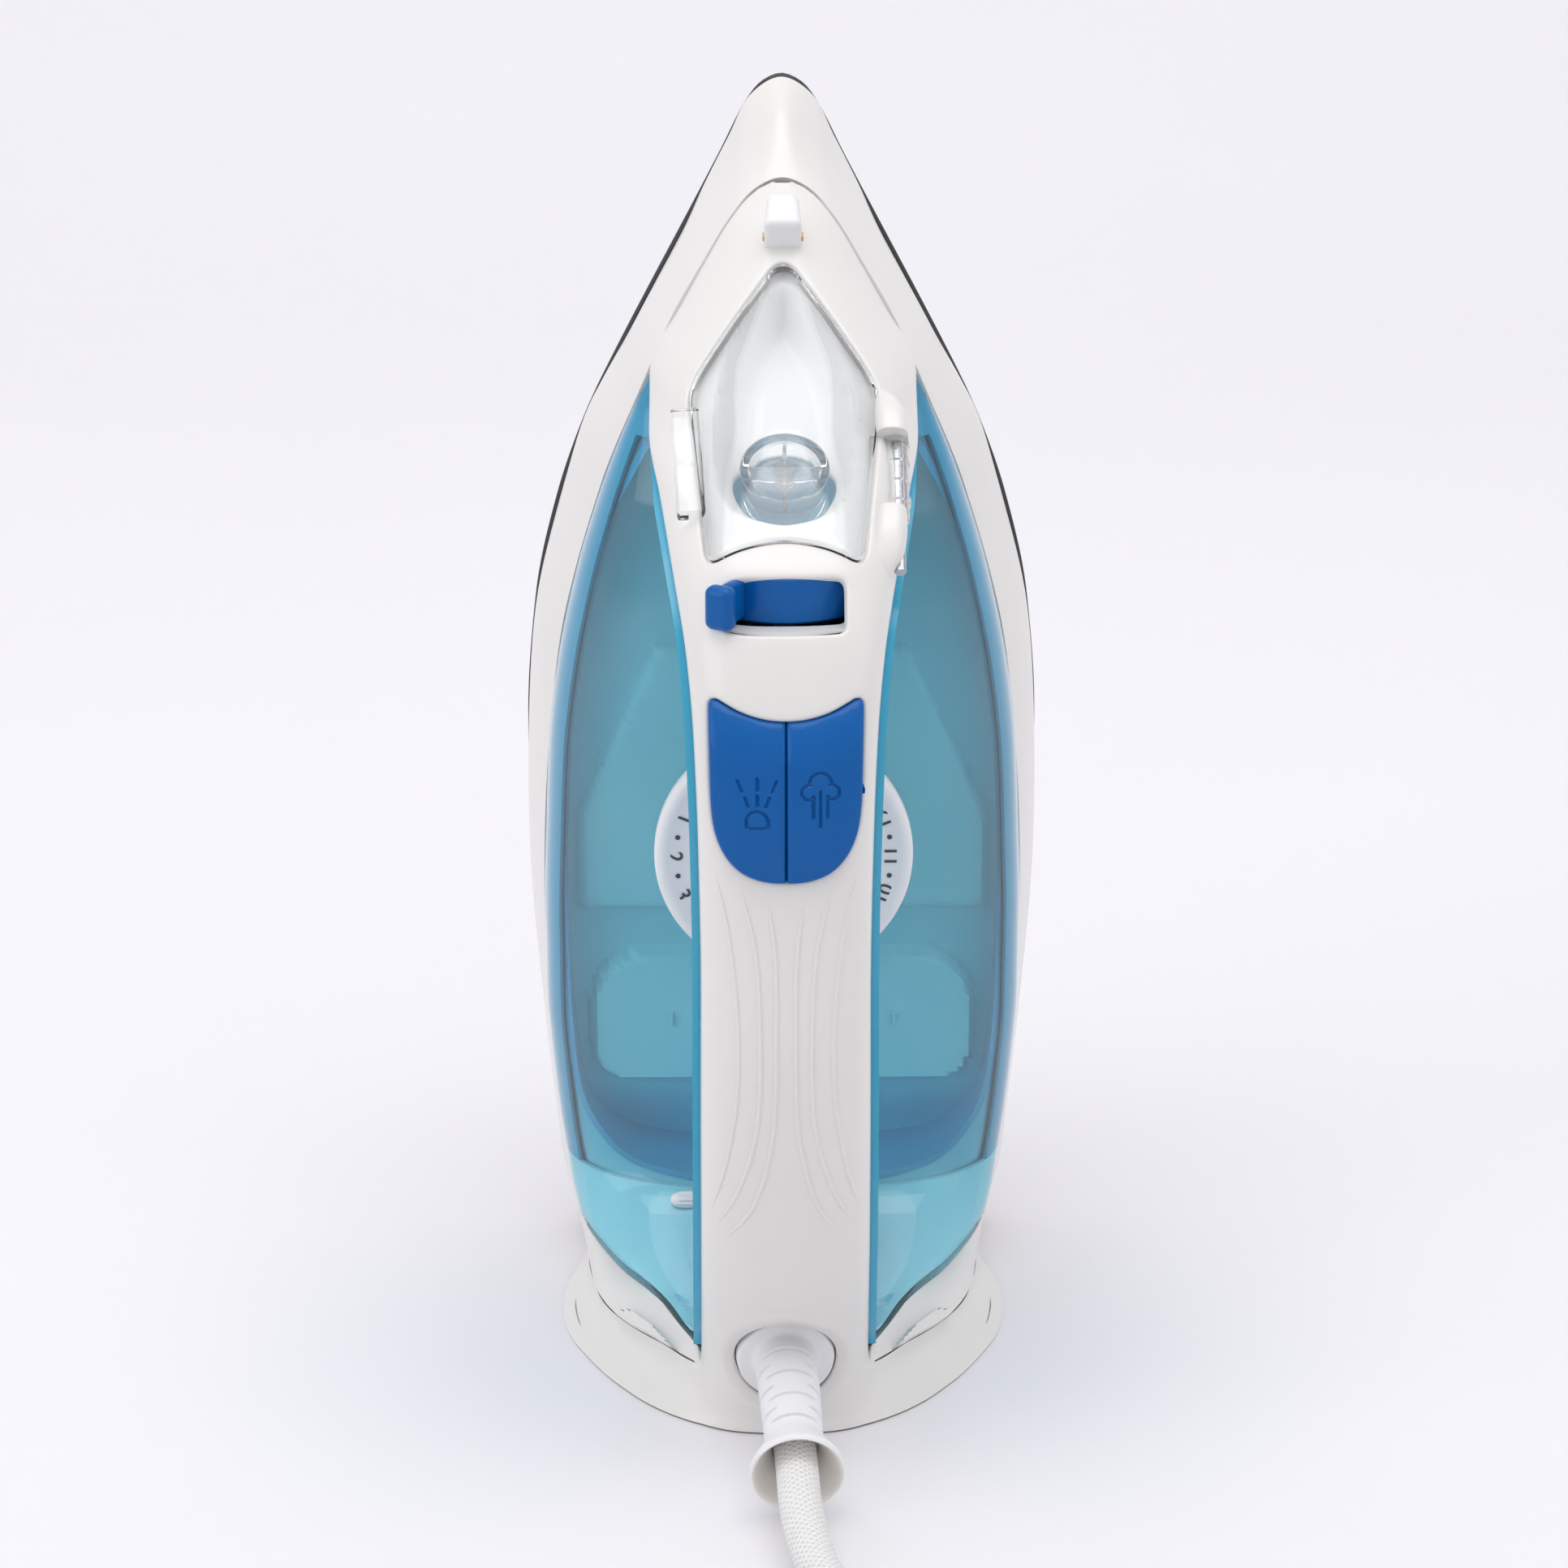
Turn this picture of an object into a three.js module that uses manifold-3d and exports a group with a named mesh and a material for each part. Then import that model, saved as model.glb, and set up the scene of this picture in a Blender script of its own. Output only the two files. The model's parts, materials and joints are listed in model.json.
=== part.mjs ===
// A steam iron standing on its heel, with its cord wound up on the floor beside it.
// Millimetres, +Z up. x runs across the iron, z along it from heel to tip, and "h" is the
// distance from the sole's face: the sole looks along +Y and the handle along -Y.
import * as THREE from "three";
import { mergeVertices } from "three/addons/utils/BufferGeometryUtils.js";
import Module from "manifold-3d";

const wasm = await Module();
wasm.setup();

// ---- Driving dimensions ----

const TIP_Z = 290.4; // heel plane to the sole's tip
const OVERALL_DEPTH = 146.74; // sole face to the top of the push buttons
const SOLE_Y = OVERALL_DEPTH / 2; // the sole's face, so that the iron's box is centred on y = 0
const GAP = 0.35; // between pieces that touch
const WALL = 2.3; // moulded shells

const SOLE_THICK = 3;
const SOLE_HEEL_Z = 48; // the metal sole ends here, and the plastic skirt closes the rest
const BASE_TOP = 12; // h of the aluminium base's upper face
const SHIELD_H = 19.5;
const TANK_FLOOR_H = 24;
const TANK_WALL = 2.2;

const DIAL_Z = 124;
const DIAL_RADIUS = 29.6;
const DIAL_H = [67.2, 73];

const BUTTON_Z = [145.8, 185.6];
const BUTTON_HALF_WIDTH = 16.4;
const BUTTON_PROUD = 3.2;
const PUMP_X = 8.5;
const PUMP_Z = 177;

const SELECTOR_H = 108.4; // the selector turns about an axis along z, at this h
const SELECTOR_RADIUS = 19.4;
const SELECTOR_Z = [198.9, 207.1];
const SELECTOR_RIB_Z = [195.2, 197.2]; // the rib in the handle that holds the selector's axle
const STEM_Z = 189;

const SPINE_SLOPE = 61 / 43; // fall of h for each mm of z along the straight spine
const LID_ORIGIN = { z: 237, h: 88.2 }; // a point on the spine's ridge
const LID_HINGE = { x: 24.5, n: -8.5 };
const LID_HOLE_U = -18;

const CORD_RADIUS = 4.25;
const CORD_TILT = THREE.MathUtils.degToRad(11);
const CORD_PIVOT = { z: 20.9, h: 116.5 };
const BALL_RADIUS = 10.5;
const GUARD_LENGTH = 44; // pivot to the open end of the guard's bell
const COIL = { y: -197, inner: 34.5, outer: 60.5, height: 17.5 };
const PLUG = { x: 4, y: -276.5, radius: 17.5, length: 46 };

const SHELL_WHITE = { color: 0xe8eaee, roughness: 0.32, metalness: 0 };
const TRIM_WHITE = { color: 0xeff1f4, roughness: 0.4, metalness: 0 };
const TANK_BLUE = { color: 0x5fa9c2, roughness: 0.18, metalness: 0, transparent: true, opacity: 0.6 };
const BUTTON_BLUE = { color: 0x1763b0, roughness: 0.25, metalness: 0 };
const CLEAR = { color: 0xe6eef2, roughness: 0.08, metalness: 0, transparent: true, opacity: 0.35 };
const HEEL_GREY = { color: 0x8b8f94, roughness: 0.6, metalness: 0 };
const SOLE_STEEL = { color: 0x8c8e90, roughness: 0.28, metalness: 1 };
const ALUMINIUM = { color: 0xb9bcc0, roughness: 0.45, metalness: 1 };
const STEEL = { color: 0xc4c6c9, roughness: 0.3, metalness: 1 };
const BRASS = { color: 0xc9a04e, roughness: 0.3, metalness: 1 };
const CERAMIC = { color: 0xe4ddcf, roughness: 0.7, metalness: 0 };
const RUBBER = { color: 0x9fa3a6, roughness: 0.8, metalness: 0 };
const BRAID = { color: 0xe9e8e6, roughness: 0.9, metalness: 0 };
const PLUG_WHITE = { color: 0xeceded, roughness: 0.45, metalness: 0 };
const WIRE_BROWN = { color: 0x6d4528, roughness: 0.5, metalness: 0 };
const WIRE_BLUE = { color: 0x2c62a8, roughness: 0.5, metalness: 0 };
const WIRE_GREEN = { color: 0x5c9a3a, roughness: 0.5, metalness: 0 };

// ---- Solids ----

// A three.js geometry as a manifold-3d solid that faces outwards.
function toSolid(geometry) {
  const bare = geometry.index ? geometry.toNonIndexed() : geometry.clone();
  bare.deleteAttribute("normal");
  bare.deleteAttribute("uv");
  const merged = mergeVertices(bare, 1e-4);
  const triVerts = new Uint32Array(merged.index.array);
  const vertProperties = merged.attributes.position.array;
  const make = () => new wasm.Manifold(new wasm.Mesh({ numProp: 3, vertProperties, triVerts }));
  const made = make();
  if (made.volume() >= 0) return made;
  triVerts.reverse();
  return make();
}

function fromSolid(solid) {
  const mesh = solid.getMesh();
  const geometry = new THREE.BufferGeometry();
  geometry.setAttribute("position", new THREE.BufferAttribute(mesh.vertProperties.slice(), 3));
  geometry.setIndex(new THREE.BufferAttribute(mesh.triVerts.slice(), 1));
  return geometry;
}

function join(first, ...others) {
  return fromSolid(others.reduce((sum, other) => sum.add(toSolid(other)), toSolid(first)));
}

function cut(first, ...tools) {
  return fromSolid(tools.reduce((rest, tool) => rest.subtract(toSolid(tool)), toSolid(first)));
}

function common(first, second) {
  return fromSolid(toSolid(first).intersect(toSolid(second)));
}

// The largest separate body of a cut piece, without any slivers that the cut left.
function mainBody(geometry) {
  const bodies = toSolid(geometry).decompose();
  return fromSolid(bodies.reduce((best, body) => (body.volume() > best.volume() ? body : best)));
}

const iron = new THREE.Group();

// Adds one named piece to a group. Its own material is made from the finish.
function piece(name, finish, geometry, parent = iron) {
  const tidy = fromSolid(toSolid(geometry));
  tidy.computeVertexNormals();
  const mesh = new THREE.Mesh(tidy, new THREE.MeshStandardMaterial(finish));
  mesh.name = name;
  parent.add(mesh);
  return mesh;
}

// ---- Curves and surfaces ----

// A smooth function through [input, output] points, which never overshoots them.
function profile(points) {
  const last = points.length - 1;
  const rise = (i) => (points[i + 1][1] - points[i][1]) / (points[i + 1][0] - points[i][0]);
  const slopes = points.map((_, i) => {
    if (i === 0) return rise(0);
    if (i === last) return rise(last - 1);
    const [before, after] = [rise(i - 1), rise(i)];
    return before * after > 0 ? (2 * before * after) / (before + after) : 0;
  });
  return (input) => {
    const x = Math.min(Math.max(input, points[0][0]), points[last][0]);
    const i = Math.min(Math.max(points.findIndex(([start]) => start > x) - 1, 0), last - 1);
    const at = x >= points[last][0] ? last - 1 : i;
    const width = points[at + 1][0] - points[at][0];
    const t = (x - points[at][0]) / width;
    const [t2, t3] = [t * t, t * t * t];
    const ends = (2 * t3 - 3 * t2 + 1) * points[at][1] + (3 * t2 - 2 * t3) * points[at + 1][1];
    return ends + width * ((t3 - 2 * t2 + t) * slopes[at] + (t3 - t2) * slopes[at + 1]);
  };
}

const point = (x, z, h) => [x, SOLE_Y - h, z];

function meshOf(vertices, triangles) {
  const geometry = new THREE.BufferGeometry();
  geometry.setAttribute("position", new THREE.Float32BufferAttribute(vertices.flat(), 3));
  geometry.setIndex(triangles.flat());
  return geometry;
}

// A closed body through matching rings at rising heights. Each end is closed from its centre.
function loft(rings) {
  const count = rings[0].length;
  const triangles = [];
  for (let r = 0; r + 1 < rings.length; r++)
    for (let i = 0; i < count; i++) {
      const [a, b] = [r * count + i, r * count + ((i + 1) % count)];
      triangles.push([a, b, b + count], [a, b + count, a + count]);
    }
  const centres = [rings[0], rings.at(-1)].map((ring) =>
    [0, 1, 2].map((axis) => ring.reduce((sum, corner) => sum + corner[axis], 0) / count),
  );
  const [first, last] = [rings.length * count, (rings.length - 1) * count];
  for (let i = 0; i < count; i++) {
    const j = (i + 1) % count;
    triangles.push([first, j, i], [first + 1, last + i, last + j]);
  }
  return meshOf([...rings.flat(), ...centres], triangles);
}

// A wall between two matching grids of points.
function thickSheet(outer, inner) {
  const [rows, columns] = [outer.length, outer[0].length];
  const back = rows * columns;
  const triangles = [];
  const quad = (a, b, c, d) => triangles.push([a, b, c], [a, c, d]);
  for (let r = 0; r + 1 < rows; r++)
    for (let c = 0; c + 1 < columns; c++) {
      const a = r * columns + c;
      quad(a, a + 1, a + columns + 1, a + columns);
      quad(back + a, back + a + columns, back + a + columns + 1, back + a + 1);
    }
  const border = [];
  for (let c = 0; c < columns; c++) border.push(c);
  for (let r = 1; r < rows; r++) border.push(r * columns + columns - 1);
  for (let c = columns - 2; c >= 0; c--) border.push((rows - 1) * columns + c);
  for (let r = rows - 2; r > 0; r--) border.push(r * columns);
  border.forEach((p, i) => {
    const q = border[(i + 1) % border.length];
    quad(q, p, back + p, back + q);
  });
  return meshOf([...outer.flat(), ...inner.flat()], triangles);
}

// The grid moved inwards along its normals, away from the body's middle line to its inside.
function offsetGrid(grid, distance, middle) {
  const at = (r, c) => new THREE.Vector3(...grid[r][c]);
  const clamp = (value, top) => Math.min(Math.max(value, 0), top);
  return grid.map((row, r) =>
    row.map((_, c) => {
      const along = at(clamp(r + 1, grid.length - 1), c).sub(at(clamp(r - 1, grid.length - 1), c));
      const across = at(r, clamp(c + 1, row.length - 1)).sub(at(r, clamp(c - 1, row.length - 1)));
      const normal = along.cross(across).normalize();
      const here = at(r, c);
      const inward = new THREE.Vector3(...middle(here)).sub(here);
      if (normal.dot(inward) < 0) normal.negate();
      return here.addScaledVector(normal, distance).toArray();
    }),
  );
}

// A flat outline in x and z, given its thickness from one h to another.
function slab(shape, [fromH, toH], curveSegments = 6) {
  const geometry = new THREE.ExtrudeGeometry(shape, {
    depth: toH - fromH,
    bevelEnabled: false,
    curveSegments,
  });
  return geometry.rotateX(Math.PI / 2).translate(0, SOLE_Y - fromH, 0);
}

// An outline without the points that lie on a straight line between their neighbours.
function corners(points) {
  return points.filter(([x, y], i) => {
    const [x0, y0] = points.at(i - 1);
    const [x1, y1] = points[(i + 1) % points.length];
    return Math.abs((x - x0) * (y1 - y0) - (y - y0) * (x1 - x0)) > 1e-3;
  });
}

function shapeOf(points, holes = []) {
  const outline = (list) => corners(list).map(([x, y]) => new THREE.Vector2(x, y));
  const shape = new THREE.Shape(outline(points));
  shape.holes = holes.map((hole) => new THREE.Path(outline(hole)));
  return shape;
}

// Left and right halves of an outline whose points run down the right side.
const mirrored = (right) => [...right, ...right.filter(([x]) => x > 0).reverse().map(([x, y]) => [-x, y])];

function circle(radius, sides, x = 0, y = 0) {
  const corner = (i) => (2 * Math.PI * i) / sides;
  return Array.from({ length: sides }, (_, i) => [
    x + radius * Math.cos(corner(i)),
    y + radius * Math.sin(corner(i)),
  ]);
}

// A body of revolution about three.js's y axis. A profile that stays off the axis is a closed loop.
function lathe(points, sides) {
  const loop = points[0][0] > 0 ? [...points, points[0]] : points;
  return new THREE.LatheGeometry(loop.map(([radius, y]) => new THREE.Vector2(radius, y)), sides);
}

// A body of revolution about an axis square to the sole: its profile lists [radius, h].
const turned = (points, { x = 0, z = 0, sides = 24 } = {}) =>
  lathe(points.map(([radius, h]) => [radius, -h]), sides).translate(x, SOLE_Y, z);

// A round rod square to the sole.
const rod = (radius, [fromH, toH], { x = 0, z = 0, sides = 16 } = {}) =>
  turned([[0, fromH], [radius, fromH], [radius, toH], [0, toH]], { x, z, sides });

// A body of revolution about +Z, or about any axis once it is turned: [radius, height].
const spun = (points, sides = 24) => lathe(points, sides).rotateX(Math.PI / 2);

function block([x0, x1], [z0, z1], [h0, h1]) {
  const geometry = new THREE.BoxGeometry(x1 - x0, h1 - h0, z1 - z0);
  return geometry.translate((x0 + x1) / 2, SOLE_Y - (h0 + h1) / 2, (z0 + z1) / 2);
}

// A round tube or wire through hand-placed points.
function tubeThrough(points, radius, { sides = 8, steps = 20, curve = 0.5 } = {}) {
  const section = shapeOf(circle(radius, sides));
  const path = new THREE.CatmullRomCurve3(
    points.map((p) => new THREE.Vector3(...p)),
    false,
    "catmullrom",
    curve,
  );
  return new THREE.ExtrudeGeometry(section, { extrudePath: path, steps, bevelEnabled: false });
}

// ---- The iron's outer form ----

// Half-width of the sole at each z.
const soleWidth = profile([
  [0, 50.5], [18, 53.6], [45, 57], [75, 60.2], [105, 61.6], [135, 61.4], [165, 59], [190, 53.4],
  [214, 44.8], [273, 13.8], [284, 8.2], [289, 4], [TIP_Z, 0],
]);

// The tank's lower edge, where blue meets white: half-width and h at each z.
const seamWidth = profile([
  [14.7, 19.4], [16, 23], [18, 28.5], [19, 35.9], [20, 43.6], [23.5, 50], [34.5, 52.7], [56, 55.3],
  [77.5, 56.7], [98, 56.7], [119, 56], [140, 54.9], [160, 52.3], [180.5, 47.9], [201.3, 41.8],
  [211.8, 38.1], [222.5, 33.8], [232.5, 29.9],
]);
const seamH = profile([
  [14.7, 102.6], [16, 97], [18, 84], [19, 65], [20, 45], [23.5, 32], [34.5, 30], [56, 30], [119, 30],
  [140, 30], [160, 31], [180.5, 33], [201.3, 37], [211.8, 40], [222.5, 44], [232.5, 50],
]);
const tankTopH = profile([
  [14.7, 103], [39, 61], [60, 64], [80, 65.6], [150, 65.6], [200, 62], [232.5, 51],
]);

// The white handle and spine: half-width, the h of its lower edge and the h of its ridge.
const crownWidth = profile([
  [0, 19.4], [14, 19.2], [40, 18.9], [90, 18.6], [120, 18.4], [150, 18.8], [174, 19.7], [190, 21.2],
  [204, 24.1], [216, 27.3], [224, 29.8], [232.5, 29.9], [238.3, 27.9], [243.9, 24.3], [254.3, 18],
  [264.5, 11.4], [269.8, 6], [272, 1],
]);
const crownEdgeH = profile([
  [0, 102], [14, 103], [25, 110], [40, 118], [60, 126], [90, 130], [120, 131], [150, 131],
  [174, 128], [190, 122], [204, 108], [216, 88], [232.5, 50], [238.3, 48], [243.9, 46],
  [254.3, 42], [264.5, 38], [269.8, 34], [272, 32],
]);
const crownTopH = profile([
  [0, 116.6], [20, 121], [45, 133], [80, 142], [112, 145], [145, 144.4], [172, 141.6], [190, 137],
  [207, 128.5], [216, 118], [259, 57], [272, 33.5],
]);
const crownPower = profile([[0, 2.6], [190, 2.8], [215, 2.2], [238, 2], [258, 1.5], [272, 1.35]]);

const superellipse = (share, power) => (1 - Math.min(Math.abs(share), 1) ** power) ** (1 / power);
const crownH = (x, z) =>
  crownEdgeH(z) +
  (crownTopH(z) - crownEdgeH(z)) * superellipse(x / crownWidth(z), crownPower(z));

const slopeOf = (f, z) => f(z + 0.5) - f(z - 0.5);
// How much further a wall reaches along h than square to the surface.
const lean = (f, z) => Math.min(Math.hypot(1, slopeOf(f, z)), 2.2);

// A ring under a superellipse arch, whose points are evenly spread by angle. Its two feet
// reach down below the arch by drop.
function arch({ halfWidth, low, top, power, z, drop, steps }) {
  const curve = Array.from({ length: steps + 1 }, (_, i) => {
    const angle = Math.PI * (1 - i / steps);
    const grow = (value) => Math.sign(value) * Math.abs(value) ** (2 / power);
    return point(halfWidth * grow(Math.cos(angle)), z, low + (top - low) * grow(Math.sin(angle)));
  });
  const feet = [halfWidth, -halfWidth].map((x) => point(x, z, low - drop));
  return [...curve, ...feet];
}

const CROWN_STATIONS = [
  0.8, 14, 27, 45, 64, 90, 120, 150, 172, 184, 192, 199, 204, 208, 212, 216, 224, 232.5, 238.3,
  243.9, 250, 258, 265, 269.8, 271.6,
];

// The crown as a full body, shrunk by inset, reaching below its lower edge by drop.
function crownBody(inset, drop = 0.2, steps = 14) {
  return loft(
    CROWN_STATIONS.map((z) => {
      const halfWidth = Math.max(crownWidth(z) - inset, 0.4);
      const low = crownEdgeH(z);
      const top = Math.max(crownTopH(z) - inset * lean(crownTopH, z), low + 0.3);
      return arch({ halfWidth, low, top, power: crownPower(z), z, drop, steps });
    }),
  );
}

const TANK_STATIONS = [
  15, 16, 17, 18, 19, 20.2, 22, 25, 31, 39, 48, 60, 90, 124, 150, 170, 188, 205, 220, 232.2,
];
const TANK_REAR_FADE = [28, 40]; // behind this the tank's wall faces the heel

// The tank as a full body, shrunk by inset. Towards the heel it shrinks along z as well.
function tankBody(inset, drop = 0.2, steps = 14) {
  return loft(
    TANK_STATIONS.map((z) => {
      const rear = 1 - THREE.MathUtils.smoothstep(z, ...TANK_REAR_FADE);
      const source = Math.max(z - 0.8 * inset * rear, TANK_STATIONS[0]);
      const halfWidth = Math.max(seamWidth(source) - inset, 1);
      const top = tankTopH(z) - inset * lean(tankTopH, z);
      const low = Math.min(seamH(source), top - 0.4);
      return arch({ halfWidth, low, top, power: 2.5, z, drop, steps });
    }),
  );
}

// ---- Sole, base and heater ----

function soleOutline(inset, fromZ, toZ = TIP_Z) {
  const zs = [48, 62, 80, 105, 135, 160, 178, 195, 214, 240, 262, 273, 280, 285, 288, TIP_Z];
  const stations = [fromZ, ...zs.filter((z) => z > fromZ + 4 && z < toZ - 2), toZ];
  const right = stations.map((z) => [Math.max(soleWidth(z) - inset, 0), z]);
  return mirrored(right);
}

// An outline inside the sole's, pulled back from the tip so that it stays a wall's width away.
const insetOutline = (inset, fromZ) => soleOutline(inset, fromZ, TIP_Z - 2.1 * inset);

function buildSole() {
  const holes = [];
  for (let i = 0; i < 7; i++) {
    const z = 118 + 21 * i;
    for (const side of [-1, 1]) holes.push([side * (soleWidth(z) - 13), z]);
  }
  for (const z of [150, 171, 192, 213, 270]) holes.push([0, z]);
  const steamHoles = holes.map(([x, z]) => circle(1.7, 6, x, z));
  const soleShape = shapeOf(soleOutline(0, SOLE_HEEL_Z), steamHoles);
  piece("soleplate", SOLE_STEEL, slab(soleShape, [0, SOLE_THICK]));

  const elementPath = [
    [24, 56, 22], [24.5, 58, 17], [26, 66, 12.5], [31, 90, 12], [33, 125, 12], [29, 165, 12],
    [19, 205, 12], [8, 236, 12],
  ];
  const full = [...elementPath, [0, 244, 12]].map(([x, z, h]) => point(x, z, h));
  const otherSide = elementPath.map(([x, z, h]) => point(-x, z, h)).reverse();
  const route = [...full, ...otherSide];
  const groove = tubeThrough(route, 4, { sides: 6, steps: 24 });
  const base = slab(shapeOf(insetOutline(5.8, 54)), [SOLE_THICK + GAP, BASE_TOP]);
  const chamber = slab(
    shapeOf([[-17, 100], [17, 100], [22, 130], [15, 180], [6, 214], [-6, 214], [-15, 180], [-22, 130]]),
    [6.5, BASE_TOP + 1],
  );
  const boltHole = ([x, z]) => rod(1.7, [7, BASE_TOP + 1], { x, z, sides: 10 });
  piece("sole_base", ALUMINIUM, cut(base, groove, chamber, ...SHIELD_SCREWS.map(boltHole)));
  piece("heating_element", STEEL, tubeThrough(route, 3.3, { sides: 6, steps: 24 }));

  const coverShape = shapeOf(
    [[-19.5, 97], [19.5, 97], [24.3, 130], [17.5, 180], [8, 216.5], [-8, 216.5], [-17.5, 180], [-24.3, 130]],
    [circle(3.2, 10, 0, STEM_Z)],
  );
  piece("chamber_cover", STEEL, slab(coverShape, [BASE_TOP + GAP, BASE_TOP + 1.7]));

  const thermostat = join(
    block([-10, 10], [114, 136], [BASE_TOP + 2.1, 17.5]),
    rod(5.2, [17, 18.8], { z: DIAL_Z }),
  );
  piece("thermostat", CERAMIC, thermostat);
  const fuse = new THREE.CylinderGeometry(2.2, 2.2, 18, 12).rotateZ(Math.PI / 2);
  piece("thermal_fuse", CERAMIC, fuse.translate(0, SOLE_Y - 15.4, 84));

  const passages = [
    circle(3.6, 12, 0, DIAL_Z), circle(4.6, 12, 0, STEM_Z), circle(6, 10, 24, 58), circle(6, 10, -24, 58),
    circle(4.8, 10, 10.8, 228.2),
  ];
  const screwHoles = SHIELD_SCREWS.map(([x, z]) => circle(2, 6, x, z));
  const shieldShape = shapeOf(insetOutline(9.5, 48.5), [...passages, ...screwHoles]);
  piece("heat_shield", STEEL, slab(shieldShape, [SHIELD_H, SHIELD_H + 1.2]));
  const names = ["sole_screw_left", "sole_screw_right", "sole_screw_front"];
  SHIELD_SCREWS.forEach(([x, z], i) =>
    piece(names[i], STEEL, turned(
      [[0, 8], [1.35, 8], [1.35, SHIELD_H + 1.5], [3.4, SHIELD_H + 1.5], [3.4, 22.8], [0, 23.4]],
      { x, z, sides: 12 },
    )),
  );
}
const SHIELD_SCREWS = [[-38, 100], [38, 100], [0, 226]];

// ---- White lower shell ----

// Each row joins three points [x, z, h] of the skirt's outside: its lower edge, its fullest
// line and its upper edge. The rows run from the heel's column round the side to the nose.
const SKIRT_ROWS = [
  [[19.6, 9.4, 106], [19.8, 12, 104.4], [20, 14.2, 102.2]],
  [[29, 9.4, 94], [27.5, 12.7, 91.8], [26, 16.4, 90.5]],
  [[38, 9.4, 79.5], [35.6, 13.6, 76], [33.4, 18.2, 72.5]],
  [[44.5, 9.4, 61], [42.6, 14.4, 58], [40.2, 19.1, 54.8]],
  [[48.2, 9.4, 40], [48.6, 15.4, 41], [46.8, 20.3, 40]],
  [[50.4, 9.6, 17], [52, 17, 24], [50.3, 23.3, 31.7]],
  [[51.4, 12, 5], [54, 24, 17], [52.1, 29.5, 30]],
  [[53.6, 21, 3.6], [55.4, 34, 15], [53.4, 40, 29.7]],
  [[56.8, 52, 3.6], [57.8, 58, 15], [55.8, 64, 29.7]],
  [[60.7, 92, 3.6], [60.4, 95, 15], [56.9, 98, 29.7]],
  [[60.7, 130, 3.6], [60.4, 130, 15], [55.7, 130, 29.7]],
  [[58.4, 164, 3.6], [57.8, 163, 15.5], [52.5, 160, 30.7]],
  [[52.5, 190, 3.6], [51.8, 187, 16], [48.1, 180.5, 32.7]],
  [[45.6, 210, 3.6], [47.1, 207, 16], [42, 201.3, 36.7]],
  [[40.4, 220.8, 3.6], [43.4, 216.6, 16], [38.3, 211.8, 39.7]],
  [[34.6, 231.8, 3.6], [38.5, 226, 16], [34, 222.5, 43.6]],
  [[29, 242.5, 3.6], [33.6, 236, 16], [30.3, 232.9, 48.8]],
  [[22.6, 254.6, 3.6], [26.6, 248, 16], [25, 244.4, 44.8]],
  [[17.4, 264.5, 3.6], [20.6, 258, 16], [18.6, 254.9, 41]],
  [[11.6, 275.8, 3.6], [12.5, 270, 16], [11.8, 265.2, 36.6]],
  [[6.6, 284.6, 3.6], [7.5, 277.5, 16], [6.4, 270.6, 32.8]],
  [[0, 289, 3.6], [0, 284.6, 16], [0, 273, 31]],
];

// The skirt's outside as a grid: rows follow its outline and columns rise from sole to tank.
function skirtGrid(perRow, columns) {
  const rails = [0, 1, 2].map((rail) => SKIRT_ROWS.map((row) => point(...row[rail])));
  const at = (rail, t) => {
    const last = rails[rail].length - 1;
    const i = Math.min(Math.floor(t), last - 1);
    const [a, b] = [rails[rail][i], rails[rail][i + 1]];
    return a.map((value, axis) => THREE.MathUtils.lerp(value, b[axis], t - i));
  };
  const right = Array.from({ length: (SKIRT_ROWS.length - 1) * perRow + 1 }, (_, i) => {
    const [low, mid, high] = [0, 1, 2].map((rail) => at(rail, i / perRow));
    return Array.from({ length: columns + 1 }, (_, j) => {
      const t = j / columns;
      const control = mid.map((value, axis) => 2 * value - (low[axis] + high[axis]) / 2);
      return low.map(
        (value, axis) =>
          (1 - t) ** 2 * value + 2 * t * (1 - t) * control[axis] + t * t * high[axis],
      );
    });
  });
  const left = right.slice(0, -1).reverse().map((row) => row.map(([x, y, z]) => [-x, y, z]));
  return [...right, ...left];
}

function buildSkirt() {
  const outer = skirtGrid(1, 4);
  const inner = offsetGrid(outer, WALL, (p) => [0, SOLE_Y - 40, Math.min(Math.max(p.z, 60), 235)]);
  const shell = thickSheet(outer, inner);
  const closing = slab(shapeOf(soleOutline(3.2, 12, SOLE_HEEL_Z - 1)), [3.7, 6]);
  const soleRoom = block([-80, 80], [-5, 300], [-6, SOLE_THICK + GAP]);
  const flangeRoom = block([-80, 80], [-5, 9 + GAP], [-6, 130]);
  const clearance = [crownBody(-GAP), tankBody(-GAP), soleRoom, flangeRoom];
  piece("skirt", SHELL_WHITE, mainBody(cut(join(shell, closing), ...clearance)));
}

// ---- Tank ----

const NECK_SPOUT = { z: 203, radius: 7.6 };

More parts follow.
